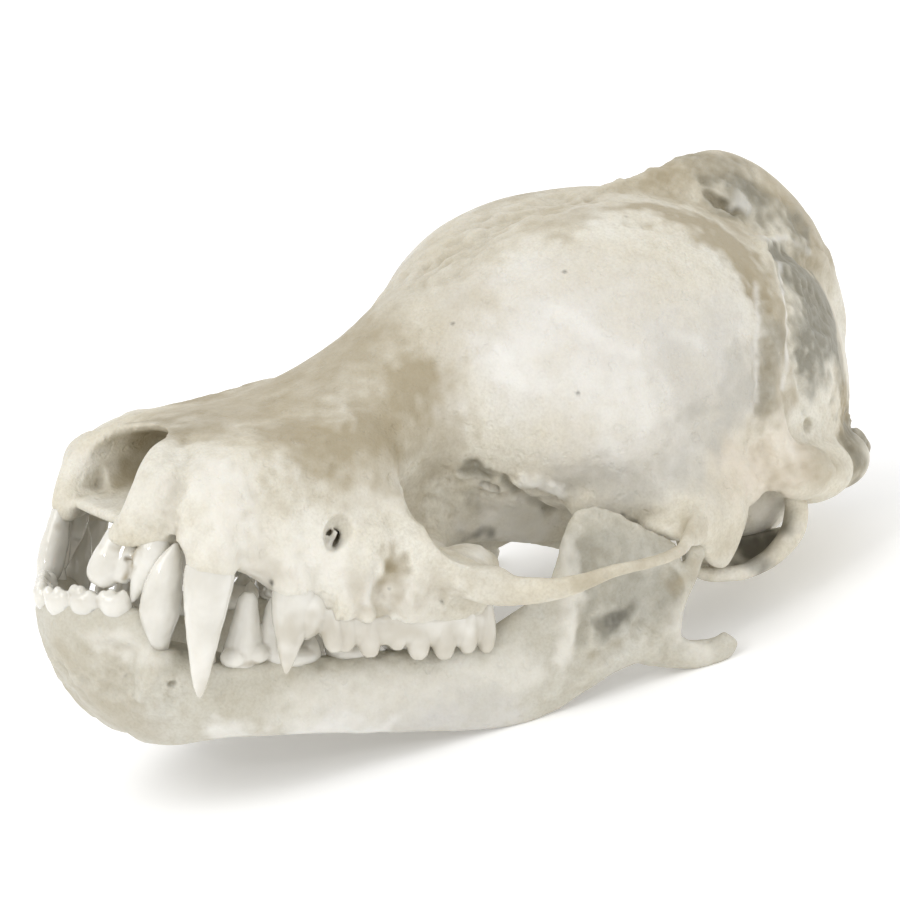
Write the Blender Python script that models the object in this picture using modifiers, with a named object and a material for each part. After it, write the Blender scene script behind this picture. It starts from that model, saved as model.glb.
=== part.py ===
"""Bat skull with its lower jaw, life size, as a still museum model.

The shape is worked in millimetres in the skull's own frame: +X is the animal's left, +Y runs
back from the front teeth, +Z is up and z = 0 is the lower edge of the chin. The last step
leans the skull back onto the points that it rests on and turns millimetres into metres.
"""
import bpy
import bmesh
import numpy as np
from math import cos, pi, radians, sin
from mathutils import Matrix

MM = 0.001
GAP = 0.3
VOXEL = 0.09
SIDES = 36

# The skull rests on the lower edges of the jaws and on their hooked rear corners
REST_LEAN = radians(14.0)
REST_FLOOR_Z = -2.08
REST_MIDDLE_Y = 11.2

# Driving sizes of the skull, in mm
BRAINCASE_HALF = 4.65
MASTOID_HALF = 5.0
ZYGOMA_HALF = 6.45
CONSTRICTION_HALF = 2.15
CANINE_HALF = 3.2
CREST_PEAK_Y = 17.1
CREST_PEAK_Z = 12.1
SPLIT_Y = 8.75
ARCH_IN = 4.95
ARCH_FRONT = 7.2
ARCH_REAR = 13.1

BONE = (0.86, 0.81, 0.70, 1.0)
PALE_BONE = (0.88, 0.86, 0.80, 1.0)
JAW_BONE = (0.84, 0.79, 0.68, 1.0)


def clear_scene():
    for thing in list(bpy.data.objects):
        bpy.data.objects.remove(thing, do_unlink=True)


def collection(name):
    made = bpy.data.collections.new(name)
    bpy.context.scene.collection.children.link(made)
    return made


def smooth_rows(rows, count):
    """Rows of numbers along a rising first column, redrawn as `count` rows on a smooth curve."""
    rows = np.array(rows, dtype=float)
    steps = np.diff(rows, axis=0)
    secant = steps / steps[:, :1]
    before, after = secant[:-1], secant[1:]
    same = before * after > 0
    total = np.where(same, before + after, 1.0)
    slopes = np.vstack([secant[:1], np.where(same, 2 * before * after / total, 0.0), secant[-1:]])
    at = np.linspace(rows[0, 0], rows[-1, 0], count)
    left = np.clip(np.searchsorted(rows[:, 0], at, side="right") - 1, 0, len(steps) - 1)
    span = steps[left, :1]
    u = (at - rows[left, 0])[:, None] / span
    start, end = rows[left], rows[left + 1]
    return ((1 + 2 * u) * (1 - u) ** 2 * start + u * (1 - u) ** 2 * span * slopes[left]
            + u * u * (3 - 2 * u) * end - u * u * (1 - u) * span * slopes[left + 1])


def mesh_object(name, points, faces):
    mesh = bpy.data.meshes.new(name)
    mesh.from_pydata([tuple(p) for p in points], [], faces)
    shell = bmesh.new()
    shell.from_mesh(mesh)
    bmesh.ops.recalc_face_normals(shell, faces=shell.faces)
    shell.to_mesh(mesh)
    shell.free()
    thing = bpy.data.objects.new(name, mesh)
    bpy.context.scene.collection.objects.link(thing)
    return thing


def loft(name, rings):
    """Closed skin over a row of rings with the same number of points."""
    rings = np.asarray(rings, dtype=float)
    count, sides = rings.shape[:2]
    faces = [tuple(range(sides)), tuple((count - 1) * sides + k for k in range(sides))]
    for row in range(count - 1):
        for k in range(sides):
            a = row * sides + k
            b = row * sides + (k + 1) % sides
            faces.append((a, b, b + sides, a + sides))
    return mesh_object(name, rings.reshape(-1, 3), faces)


def section(y, middle, half, waist, top, bottom, power=2.3):
    """Upright rounded ring at one y: middle and half width in x, waist, top and bottom in z."""
    turn = np.linspace(0.0, 2 * pi, SIDES, endpoint=False)
    across = np.sign(np.cos(turn)) * np.abs(np.cos(turn)) ** (2 / power)
    upward = np.sign(np.sin(turn)) * np.abs(np.sin(turn)) ** (2 / power)
    x = middle + half * across
    z = waist + np.where(upward > 0, top - waist, waist - bottom) * upward
    return np.stack([x, np.full(SIDES, y), z], axis=1)


def long_form(name, stations, count, power=2.3, side=1):
    """Loft along y through stations (y, middle, half, waist, top, bottom), or with a power each."""
    rows = smooth_rows(stations, count)
    if rows.shape[1] == 6:
        rows = np.column_stack([rows, np.full(count, power)])
    return loft(name, [section(row[0], side * row[1], *row[2:]) for row in rows])


def sweep(name, stations, side=1, count=18, sides=14, flat=(0.0, 0.0, 1.0)):
    """Tapered rod through stations (x, y, z, half width, half height); height lies along flat."""
    given = np.array(stations, dtype=float)
    given[:, 0] *= side
    run = np.concatenate([[0.0], np.cumsum(np.linalg.norm(np.diff(given[:, :3], axis=0), axis=1))])
    rows = smooth_rows(np.column_stack([run, given]), count)[:, 1:]
    along = np.gradient(rows[:, :3], axis=0)
    along /= np.linalg.norm(along, axis=1)[:, None]
    wide = np.cross(along, np.array(flat) * (side, 1.0, 1.0))
    wide /= np.linalg.norm(wide, axis=1)[:, None]
    high = np.cross(wide, along)
    turn = np.linspace(0.0, 2 * pi, sides, endpoint=False)[None, :, None]
    rings = (rows[:, None, :3] + np.cos(turn) * wide[:, None] * rows[:, None, 3:4]
             + np.sin(turn) * high[:, None] * rows[:, None, 4:5])
    return loft(name, rings)


def ball(name, centre, radii, side=1, tilt=(0.0, 0.0, 0.0)):
    """Ellipsoid; tilt is in degrees about x, y and z."""
    shell = bmesh.new()
    bmesh.ops.create_uvsphere(shell, u_segments=28, v_segments=18, radius=1.0)
    turn = Matrix.Rotation(side * radians(tilt[2]), 4, "Z") @ Matrix.Rotation(
        side * radians(tilt[1]), 4, "Y") @ Matrix.Rotation(radians(tilt[0]), 4, "X")
    place = Matrix.Translation((side * centre[0], centre[1], centre[2]))
    shell.transform(place @ turn @ Matrix.Diagonal((*radii, 1.0)))
    mesh = bpy.data.meshes.new(name)
    shell.to_mesh(mesh)
    shell.free()
    thing = bpy.data.objects.new(name, mesh)
    bpy.context.scene.collection.objects.link(thing)
    return thing


def block(name, low, high):
    """Plain box between two corners."""
    low, high = np.array(low, dtype=float), np.array(high, dtype=float)
    shell = bmesh.new()
    bmesh.ops.create_cube(shell, size=1.0)
    shell.transform(Matrix.Translation((low + high) / 2) @ Matrix.Diagonal((*(high - low), 1.0)))
    mesh = bpy.data.meshes.new(name)
    shell.to_mesh(mesh)
    shell.free()
    thing = bpy.data.objects.new(name, mesh)
    bpy.context.scene.collection.objects.link(thing)
    return thing


def gather(name, things):
    """One object from several closed pieces, still overlapping."""
    shell = bmesh.new()
    for thing in things:
        shell.from_mesh(thing.data)
        bpy.data.objects.remove(thing, do_unlink=True)
    mesh = bpy.data.meshes.new(name)
    shell.to_mesh(mesh)
    shell.free()
    made = bpy.data.objects.new(name, mesh)
    bpy.context.scene.collection.objects.link(made)
    return made


def settle(thing):
    """Apply a piece's modifiers."""
    shape = thing.evaluated_get(bpy.context.evaluated_depsgraph_get())
    mesh = bpy.data.meshes.new_from_object(shape)
    thing.modifiers.clear()
    thing.data = mesh
    return thing


def remesh(thing, voxel):
    skin = thing.modifiers.new("skin", "REMESH")
    skin.mode = "VOXEL"
    skin.voxel_size = voxel
    skin.adaptivity = 0.0
    return settle(thing)


def boolean(thing, other, operation):
    """Cut or join with another closed piece, which is used up."""
    step = thing.modifiers.new(operation.lower(), "BOOLEAN")
    step.operation = operation
    step.solver = "MANIFOLD"
    step.object = other
    settle(thing)
    bpy.data.objects.remove(other, do_unlink=True)
    return thing


def soften(thing, rounds, factor=0.5):
    step = thing.modifiers.new("soften", "SMOOTH")
    step.factor = factor
    step.iterations = rounds
    return settle(thing)


def fused(name, pieces, holes, rounds=5):
    """Pieces joined into one skin, hollowed by the holes, then softened."""
    body = remesh(gather(name, pieces), VOXEL)
    if holes:
        body = boolean(body, remesh(gather(name + "_holes", holes), VOXEL), "DIFFERENCE")
        body = remesh(body, VOXEL)
    return soften(body, rounds)


def copy_of(thing, name):
    made = bpy.data.objects.new(name, thing.data.copy())
    bpy.context.scene.collection.objects.link(made)
    return made


def swollen(thing, by):
    """Copy of a closed form grown on every side, to cut its neighbours clear of it."""
    grown = copy_of(thing, "swollen")
    swell = grown.modifiers.new("swell", "DISPLACE")
    swell.direction = "NORMAL"
    swell.mid_level = 0.0
    swell.strength = by
    settle(grown)
    return remesh(grown, 2 * VOXEL)


def largest_only(thing):
    """Drop every loose scrap but the largest closed surface."""
    shell = bmesh.new()
    shell.from_mesh(thing.data)
    shell.faces.ensure_lookup_table()
    seen = set()
    groups = []
    for face in shell.faces:
        if face.index in seen:
            continue
        group, edge_of_group = [], [face]
        seen.add(face.index)
        while edge_of_group:
            here = edge_of_group.pop()
            group.append(here)
            for edge in here.edges:
                for other in edge.link_faces:
                    if other.index not in seen:
                        seen.add(other.index)
                        edge_of_group.append(other)
        groups.append(group)
    groups.sort(key=len)
    for group in groups[:-1]:
        bmesh.ops.delete(shell, geom=group, context="FACES")
    shell.to_mesh(thing.data)
    shell.free()
    return thing


def thin_out(thing, triangles):
    """Fewer triangles, for a solid that stays light."""
    shell = bmesh.new()
    shell.from_mesh(thing.data)
    bmesh.ops.triangulate(shell, faces=shell.faces)
    count = len(shell.faces)
    shell.to_mesh(thing.data)
    shell.free()
    step = thing.modifiers.new("thin", "DECIMATE")
    step.ratio = min(1.0, triangles / count)
    step.use_collapse_triangulate = True
    return settle(thing)


# Cranium

CORE = (
    (1.70, 0.0, 2.15, 5.40, 6.86, 4.60, 2.6),
    (2.60, 0.0, 2.66, 5.40, 7.02, 4.30, 2.6),
    (3.60, 0.0, 2.84, 5.40, 7.14, 4.15, 2.5),
    (4.80, 0.0, 2.94, 5.50, 7.28, 4.10, 2.4),
    (5.90, 0.0, 2.90, 5.70, 7.62, 4.15, 2.15),
    (6.90, 0.0, 2.62, 6.10, 8.12, 4.30, 2.0),
    (7.80, 0.0, 2.25, 6.50, 8.74, 4.60, 2.0),
    (8.50, 0.0, CONSTRICTION_HALF, 6.80, 9.35, 4.75, 2.0),
    (9.20, 0.0, 2.75, 7.00, 9.88, 4.65, 2.0),
    (10.2, 0.0, 3.70, 7.20, 10.50, 4.45, 2.2),
    (11.3, 0.0, 4.32, 7.30, 10.98, 4.25, 2.35),
    (12.7, 0.0, BRAINCASE_HALF, 7.30, 11.30, 4.10, 2.4),
    (14.2, 0.0, BRAINCASE_HALF, 7.10, 11.38, 4.00, 2.4),
    (15.8, 0.0, 4.42, 6.70, 11.10, 3.95, 2.3),
    (17.2, 0.0, 4.00, 6.30, 10.65, 3.95, 2.2),
    (18.4, 0.0, 3.35, 6.10, 10.05, 3.98, 2.1),
    (19.4, 0.0, 2.35, 6.00, 9.30, 4.05, 2.0),
    (20.1, 0.0, 1.35, 5.90, 8.45, 4.20, 2.0),
    (20.6, 0.0, 0.75, 5.85, 7.50, 4.50, 2.0),
    (20.85, 0.0, 0.35, 5.80, 6.50, 5.10, 2.0),
)


def skull_core():
    """Rostrum, forehead, braincase and occiput as one long form."""
    return long_form("core", CORE, 90)


def on_core(y, turn, out=0.0):
    """Point on the core at one y; turn runs from 0 at the side to 90 degrees at the top."""
    rows = smooth_rows(CORE, 400)
    middle, half, waist, top, _, power = (np.interp(y, rows[:, 0], rows[:, k]) for k in range(1, 7))
    x = middle + (half + out) * cos(radians(turn)) ** (2 / power)
    return x, y, waist + (top - waist + out) * sin(radians(turn)) ** (2 / power)


def core_ridge(name, side, stations, count=36):
    """Raised line on the core through stations (y, turn, half width, half height)."""
    rows = [(*on_core(y, turn), wide, high) for y, turn, wide, high in stations]
    return sweep(name, rows, side, count=count, flat=(0.5, 0.0, 1.0))


def sagittal_crest():
    """Midline crest that rises to a helmet at the back."""
    ridge = [
        (13.4, 0.0, 0.35, 10.8, 11.34, 10.2),
        (14.6, 0.0, 0.55, 10.8, 11.50, 10.2),
        (15.6, 0.0, 0.85, 10.7, 11.84, 10.0),
        (16.4, 0.0, 1.15, 10.5, 12.06, 9.8),
        (CREST_PEAK_Y, 0.0, 1.35, 10.3, CREST_PEAK_Z, 9.6),
        (18.0, 0.0, 1.40, 10.0, 11.82, 9.4),
        (19.0, 0.0, 1.20, 9.5, 11.15, 9.0),
        (19.8, 0.0, 0.95, 8.9, 10.30, 8.2),
        (20.4, 0.0, 0.65, 8.2, 9.20, 7.4),
        (20.85, 0.0, 0.35, 7.4, 8.00, 6.8),
    ]
    return long_form("sagittal_crest", ridge, 40, power=1.55)


def lambdoid_crest(side):
    """Ridge from the helmet down the side to the mastoid."""
    return sweep("lambdoid", [
        (0.3, 17.6, 11.55, 0.30, 0.40),
        (1.3, 17.2, 10.95, 0.26, 0.36),
        (2.5, 16.7, 10.10, 0.22, 0.30),
        (3.55, 16.15, 8.90, 0.20, 0.26),
        (4.15, 15.85, 7.50, 0.20, 0.26),
        (4.40, 15.95, 6.20, 0.26, 0.34),
        (4.50, 16.4, 5.40, 0.35, 0.45),
    ], side, count=30, flat=(0.0, 1.0, 0.0))


def temporal_ridge(side):
    """Low line from the front of the orbit up to the midline crest."""
    return core_ridge("temporal_ridge", side, [
        (6.9, 42, 0.14, 0.10),
        (8.0, 50, 0.13, 0.11),
        (8.9, 57, 0.13, 0.11),
        (9.8, 69, 0.12, 0.10),
        (10.7, 77, 0.12, 0.09),
        (12.5, 84, 0.12, 0.09),
        (14.2, 89, 0.14, 0.12),
    ])


def maxilla(side):
    """Tooth-bearing wall of the upper jaw, from the canine back past the last molar."""
    return long_form("maxilla", [
        (1.45, 2.55, 0.42, 5.20, 5.95, 4.78, 2.2),
        (1.90, 2.72, 0.60, 5.30, 6.30, 4.50, 2.2),
        (2.60, 2.80, 0.66, 5.20, 6.40, 4.30, 2.3),
        (3.20, 2.82, 0.64, 4.90, 6.20, 4.05, 2.5),
        (3.80, 2.92, 0.68, 4.50, 6.00, 3.60, 2.8),
        (4.60, 3.12, 0.74, 4.10, 5.80, 3.15, 3.0),
        (5.40, 3.30, 0.78, 3.80, 5.40, 2.98, 3.2),
        (6.40, 3.40, 0.84, 3.60, 4.90, 2.88, 3.4),
        (7.40, 3.45, 0.88, 3.50, 4.45, 2.80, 3.4),
        (8.30, 3.50, 0.78, 3.40, 4.10, 2.78, 3.0),
        (8.80, 3.50, 0.50, 3.35, 3.85, 2.90, 2.4),
    ], 44, side=side)


def cheek(side):
    """Side of the snout that slopes from the nasal bridge down to the tooth row."""
    return long_form("cheek", [
        (1.75, 1.75, 1.20, 5.70, 6.60, 5.20, 2.0),
        (2.60, 1.78, 1.60, 5.45, 6.88, 4.90, 2.0),
        (3.40, 1.80, 1.66, 5.30, 6.98, 4.70, 2.0),
        (4.60, 1.85, 1.82, 5.05, 7.08, 4.50, 2.0),
        (5.60, 1.90, 1.80, 4.90, 7.25, 4.30, 2.0),
        (6.50, 1.85, 1.45, 4.90, 7.40, 4.30, 2.0),
        (7.10, 1.60, 0.90, 5.00, 7.20, 4.60, 2.0),
    ], 40, side=side)


def premaxilla(side):
    """Small bone that carries the two incisors and edges the nasal opening."""
    upper = sweep("premaxilla_rim", [
        (1.35, 2.75, 6.55, 0.30, 0.34),
        (1.68, 1.65, 6.38, 0.32, 0.40),
        (1.88, 1.10, 5.85, 0.34, 0.42),
        (1.85, 0.95, 5.25, 0.36, 0.40),
        (1.60, 0.95, 4.85, 0.38, 0.34),
    ], side, count=24, flat=(1.0, 0.0, 0.0))
    lower = sweep("premaxilla_edge", [
        (0.95, 0.75, 4.95, 0.22, 0.24),
        (1.30, 1.05, 4.95, 0.34, 0.32),
        (1.70, 1.80, 4.98, 0.32, 0.30),
        (2.00, 2.60, 5.02, 0.34, 0.34),
        (2.40, 3.30, 5.10, 0.36, 0.40),
    ], side, count=24)
    wing = ball("premaxilla_wing", (2.02, 1.75, 5.75), (0.52, 0.85, 0.85), side)
    return [upper, lower, wing]


def palate():
    """Vaulted roof of the mouth, notched in front by the cuts."""
    return long_form("palate", [
        (1.60, 0.0, 2.30, 5.20, 5.45, 4.95),
        (2.60, 0.0, 2.50, 5.00, 5.30, 4.70),
        (4.00, 0.0, 2.60, 4.60, 4.90, 4.25),
        (6.00, 0.0, 2.80, 4.25, 4.60, 3.90),
        (8.00, 0.0, 2.90, 4.00, 4.40, 3.62),
        (9.00, 0.0, 1.60, 3.90, 4.30, 3.55),
        (9.60, 0.0, 0.70, 3.90, 4.20, 3.60),
    ], 40, power=2.6)


def canine_root(side):
    return sweep("canine_root", [
        (3.06, 2.30, 4.40, 0.50, 0.60),
        (2.90, 2.50, 5.20, 0.48, 0.54),
        (2.36, 2.95, 6.10, 0.34, 0.36),
        (1.60, 3.50, 6.60, 0.20, 0.16),
    ], side, flat=(0.0, 1.0, 0.0))


def premolar_root(side):
    return sweep("premolar_root", [
        (3.50, 3.95, 3.70, 0.28, 0.42),
        (3.30, 4.05, 4.60, 0.24, 0.32),
        (3.00, 4.15, 5.40, 0.14, 0.18),
    ], side, flat=(0.0, 1.0, 0.0))


def molar_roots(side):
    """Upright swellings over the roots of the molars."""
    return [sweep("molar_root", [
        (outer, y, 2.95, 0.20, 0.24),
        (outer - 0.02, y, 3.60, 0.16, 0.18),
        (outer - 0.16, y + 0.05, 4.25, 0.08, 0.08),
    ], side, flat=(0.0, 1.0, 0.0)) for y, outer in ((5.2, 3.93), (6.0, 4.02), (6.75, 4.10), (7.45, 4.15))]


def zygomatic_root(side):
    """Stout foot of the arch on the upper jaw and the front rim of the orbit."""
    foot = sweep("zygomatic_root", [
        (3.30, 6.20, 4.60, 0.60, 0.60),
        (3.85, 7.00, 4.10, 0.60, 0.58),
        (4.40, 7.80, 3.88, 0.52, 0.44),
        (5.05, 8.60, 3.80, 0.34, 0.34),
    ], side)
    rim = sweep("orbit_rim", [
        (1.80, 6.80, 7.20, 0.30, 0.34),
        (2.40, 6.55, 6.40, 0.50, 0.50),
        (2.85, 6.42, 5.50, 0.56, 0.56),
        (3.55, 6.58, 4.80, 0.50, 0.50),
        (4.15, 7.15, 4.25, 0.48, 0.48),
    ], side, flat=(0.0, 1.0, 0.0))
    return [foot, rim]


def zygomatic_bar(side):
    """Slender arch between the upper jaw and the ear region, blade-like behind."""
    return sweep("zygomatic_bar", [
        (4.30, 7.60, 3.85, 0.50, 0.50),
        (5.00, 8.40, 3.62, 0.36, 0.42),
        (5.75, 9.30, 3.60, 0.27, 0.34),
        (6.25, 10.4, 3.74, 0.25, 0.27),
        (ZYGOMA_HALF - 0.1, 11.6, 3.96, 0.25, 0.25),
        (6.15, 12.5, 4.14, 0.26, 0.27),
        (5.75, 13.2, 4.28, 0.28, 0.36),
        (5.25, 13.8, 4.45, 0.40, 0.52),
        (4.60, 14.2, 4.80, 0.50, 0.75),
    ], side, count=44)


def glenoid(side):
    """Socket of the jaw joint, the hook behind it and the braincase wall above it."""
    shelf = ball("glenoid_shelf", (4.40, 13.75, 4.38), (1.05, 0.85, 0.40), side)
    hook = sweep("postglenoid", [
        (4.75, 14.35, 4.70, 0.70, 0.28),
        (4.75, 14.45, 4.10, 0.60, 0.24),
        (4.72, 14.38, 3.60, 0.42, 0.20),
        (4.72, 14.25, 3.25, 0.20, 0.12),
    ], side, flat=(0.0, 1.0, 0.0))
    wall = ball("squamosal", (3.80, 14.0, 5.40), (0.95, 1.80, 1.15), side)
    skirt = ball("squamosal_skirt", (3.40, 13.1, 5.05), (0.86, 2.10, 1.08), side)
    foot = ball("squamosal_foot", (4.35, 14.9, 4.95), (0.65, 0.95, 0.75), side)
    return [shelf, hook, wall, skirt, foot]


def ear_region(side):
    """Cochlea, mastoid and the thick foot of the lambdoid crest."""
    return [
        ball("cochlea", (2.55, 16.1, 4.15), (0.95, 1.35, 0.85), side, (0.0, 0.0, -15.0)),
        ball("mastoid", (MASTOID_HALF - 0.50, 16.6, 5.25), (0.50, 0.90, 0.70), side),
        ball("mastoid_swell", (3.60, 17.4, 5.05), (0.95, 1.20, 0.80), side),
        ball("exoccipital", (2.55, 18.8, 4.95), (0.90, 1.15, 0.75), side, (0.0, 0.0, 25.0)),
    ]


def skull_base():
    """Floor of the braincase between the orbits and the ears."""
    return long_form("skull_base", [
        (8.90, 0.0, 0.90, 4.60, 5.20, 4.20, 2.6),
        (10.0, 0.0, 1.50, 4.60, 5.60, 4.05, 2.6),
        (11.5, 0.0, 2.10, 4.60, 5.80, 3.90, 2.6),
        (13.0, 0.0, 2.60, 4.60, 5.80, 3.76, 2.6),
        (14.4, 0.0, 2.60, 4.60, 5.80, 3.78, 2.6),
        (15.6, 0.0, 1.80, 4.60, 5.60, 3.85, 2.6),
        (17.5, 0.0, 1.40, 4.60, 5.60, 4.00, 2.6),
        (19.0, 0.0, 1.10, 4.80, 5.40, 4.30, 2.6),
    ], 24)


def occipital_condyle(side):
    return ball("condyle", (1.30, 20.20, 4.70), (0.44, 0.62, 0.70), side, (20.0, 0.0, 20.0))


def pterygoid(side):
    """Thin upright plate beside the inner nostrils, hooked at its rear end."""
    plate = sweep("pterygoid", [
        (0.95, 8.90, 4.00, 0.25, 0.55),
        (1.00, 9.80, 3.95, 0.25, 0.58),
        (1.10, 10.7, 3.88, 0.25, 0.58),
        (1.25, 11.6, 3.80, 0.25, 0.52),
        (1.40, 12.5, 3.66, 0.25, 0.42),
        (1.50, 13.1, 3.42, 0.22, 0.22),
    ], side, count=24)
    return plate


CUSP_TAPER = (0.86, 1.0, 0.82, 0.52, 0.28, 0.08)
FANG_TAPER = (0.84, 1.0, 0.86, 0.58, 0.32, 0.10)
SHARES = (0.0, 0.25, 0.5, 0.75, 0.92, 1.0)


def cone(name, side, base, tip, half_width, half_length, taper=CUSP_TAPER, lean=0.0):
    """One pointed tooth or cusp, from its sunk base to its tip."""
    base, tip = np.array(base), np.array(tip)
    rows = []
    for share, size in zip(SHARES, taper):
        x, y, z = base + (tip - base) * share
        rows.append((x, y + lean * sin(pi * share), z, half_width * size, half_length * size))
    return sweep(name, rows, side, count=14, sides=12, flat=(0.0, 1.0, 0.0))


def upper_teeth(side):
    """Two incisors, the canine, one premolar and three molars of one side."""
    blunt = (0.90, 1.0, 0.95, 0.80, 0.55, 0.30)
    teeth = [
        cone("incisor_inner", side, (1.10, 0.95, 5.05), (0.92, 0.30, 3.70), 0.40, 0.40, blunt),
        cone("incisor_inner_lobe", side, (1.42, 1.05, 4.95), (1.38, 0.62, 3.80), 0.30, 0.32, blunt),
        cone("incisor_outer", side, (1.95, 1.42, 5.00), (1.84, 0.86, 3.60), 0.30, 0.42, blunt),
        cone("canine", side, (CANINE_HALF - 0.14, 2.25, 5.05), (CANINE_HALF, 1.68, 1.60), 0.43, 0.56,
             FANG_TAPER, 0.06),
        cone("premolar_blade", side, (3.30, 4.20, 3.90), (3.62, 3.66, 1.84), 0.44, 0.72),
        cone("premolar_heel", side, (3.35, 4.50, 3.80), (3.72, 4.62, 2.42), 0.42, 0.45),
        cone("premolar_inner", side, (2.85, 4.30, 3.80), (2.55, 4.20, 2.80), 0.38, 0.40),
    ]
    molars = ((5.60, 0.72, 3.98, 1.00), (6.95, 0.70, 4.15, 1.00), (8.08, 0.46, 4.12, 0.78))
    for middle, half_length, outer, size in molars:
        teeth.append(ball("molar_body", (outer - 0.72, middle, 3.02), (0.72, half_length, 0.52), side))
        teeth.append(ball("molar_wall", (outer - 0.30, middle, 2.90), (0.34, half_length, 0.62), side))
        for step in (-0.46, 0.48):
            y = middle + step * half_length / 0.7
            teeth.append(cone("outer_cusp", side, (outer - 0.25, y, 3.1), (outer - 0.06, y, 2.12), 0.30, 0.38 * size))
            teeth.append(cone("main_cusp", side, (outer - 0.70, y + 0.1, 3.1), (outer - 0.62, y + 0.1, 2.40),
                              0.28, 0.30 * size))
        teeth.append(cone("inner_cusp", side, (outer - 1.30, middle, 3.3), (outer - 1.58, middle, 2.60), 0.34, 0.38))
    return teeth


def cranium_cuts():
    """Hollows: nose, mouth notch, orbits, inner nostrils, nerve holes and the great foramen."""
    cuts = [
        sweep("nose", [
            (0.0, -0.6, 5.85, 1.50, 0.85),
            (0.0, 0.9, 5.85, 1.52, 0.82),
            (0.0, 2.2, 5.90, 1.48, 0.76),
            (0.0, 3.6, 5.90, 1.15, 0.60),
            (0.0, 4.8, 5.90, 0.60, 0.25),
        ], count=24),
        ball("nose_roof_notch", (0.0, 1.55, 6.7), (1.15, 1.25, 0.75)),
        sweep("mouth_notch", [
            (0.0, -0.6, 5.00, 0.75, 0.60),
            (0.0, 0.9, 5.00, 0.90, 0.60),
            (0.0, 1.7, 4.95, 1.35, 0.55),
            (0.0, 2.5, 4.90, 1.45, 0.50),
            (0.0, 3.2, 4.85, 0.80, 0.35),
        ], count=24),
        sweep("inner_nostrils", [
            (0.0, 8.6, 4.25, 0.45, 0.20),
            (0.0, 9.6, 4.00, 0.72, 0.40),
            (0.0, 10.8, 3.75, 0.80, 0.42),
            (0.0, 12.2, 3.30, 0.85, 0.40),
        ], count=20),
        sweep("great_foramen", [
            (0.0, 18.9, 5.30, 0.70, 0.70),
            (0.0, 20.0, 5.20, 1.10, 1.00),
            (0.0, 21.4, 4.95, 1.25, 1.05),
            (0.0, 22.4, 4.75, 1.30, 1.10),
        ], count=20),
    ]
    for side in (1, -1):
        cuts += [
            sweep("orbit", [
                (4.30, 6.95, 5.60, 0.25, 0.30),
                (3.85, 7.50, 5.80, 0.80, 1.00),
                (3.55, 8.40, 5.90, 0.95, 1.30),
                (4.30, 9.30, 5.60, 0.60, 1.00),
            ], side, count=20),
            ball("orbit_floor", (4.70, 8.25, 5.15), (1.25, 1.15, 0.85), side),
            sweep("infraorbital", [
                (4.55, 4.10, 4.85, 0.36, 0.38),
                (3.80, 4.80, 5.00, 0.32, 0.36),
                (3.10, 5.50, 5.05, 0.28, 0.32),
                (2.85, 6.60, 5.10, 0.26, 0.30),
                (3.10, 8.00, 5.20, 0.30, 0.32),
            ], side, count=24),
        ]
    return cuts


def whole_cranium():
    pieces = [skull_core(), sagittal_crest(), palate(), skull_base()]
    for side in (1, -1):
        pieces += [
            lambdoid_crest(side),
            temporal_ridge(side),
            maxilla(side),
            cheek(side),
            canine_root(side),
            premolar_root(side),
            zygomatic_bar(side),
            occipital_condyle(side),
            pterygoid(side),
        ]
        pieces += premaxilla(side) + molar_roots(side) + zygomatic_root(side) + glenoid(side) + ear_region(side)
    body = fused("cranium", pieces, cranium_cuts())
    teeth = remesh(gather("upper_teeth", upper_teeth(1) + upper_teeth(-1)), VOXEL)
    return boolean(body, teeth, "UNION")


# Lower jaw

def jaw_body(side):
    """Body and rising branch of one half of the lower jaw."""
    rows = [
        (-0.42, 0.15, 0.45, 2.80, 2.95, 2.50, 1.8),
        (-0.22, 0.15, 0.74, 2.65, 2.95, 2.10, 1.5),
        (0.05, 0.15, 1.10, 2.55, 2.90, 1.55, 1.4),
        (0.50, 0.15, 1.58, 2.40, 2.80, 0.92, 1.35),
        (0.95, 0.15, 2.08, 2.25, 2.72, 0.44, 1.35),
        (1.40, 0.15, 2.50, 2.10, 2.62, 0.12, 1.4),
        (1.85, 0.20, 2.78, 1.85, 2.50, 0.08, 1.6),
        (2.40, 0.50, 2.96, 1.55, 2.36, 0.20, 2.0),
        (3.00, 1.40, 3.08, 1.35, 2.20, 0.34, 2.3),
        (4.00, 2.15, 3.22, 1.20, 2.08, 0.34, 2.5),
        (5.50, 2.50, 3.50, 1.15, 2.05, 0.26, 2.5),
        (7.00, 2.85, 3.85, 1.10, 2.10, 0.16, 2.5),
        (8.50, 3.25, 4.20, 1.10, 2.20, 0.08, 2.5),
        (9.40, 3.60, 4.40, 1.25, 2.35, 0.14, 2.6),
        (10.0, 3.90, 4.55, 1.60, 2.70, 0.36, 2.6),
        (10.25, 4.08, 4.66, 2.60, 4.50, 0.48, 2.6),
        (10.5, 4.16, 4.74, 2.90, 5.00, 0.64, 2.6),
        (10.95, 4.28, 4.84, 3.00, 5.14, 0.90, 2.6),
        (11.6, 4.42, 4.95, 3.00, 4.88, 1.24, 2.6),
        (12.5, 4.62, 5.12, 2.95, 4.38, 1.46, 2.6),
        (13.0, 4.72, 5.20, 2.90, 4.10, 1.50, 2.6),
        (13.2, 4.76, 5.16, 2.90, 3.80, 1.80, 2.6),
    ]
    stations = [(y, (inner + outer) / 2, (outer - inner) / 2, *rest) for y, inner, outer, *rest in rows]
    return long_form("jaw_body", stations, 80, side=side)


def jaw_condyle(side):
    return sweep("jaw_condyle", [
        (4.45, 13.55, 3.86, 0.20, 0.20),
        (4.80, 13.60, 3.90, 0.26, 0.26),
        (5.25, 13.62, 3.90, 0.26, 0.26),
        (5.55, 13.60, 3.86, 0.18, 0.20),
    ], side, flat=(0.0, 0.0, 1.0))


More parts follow.
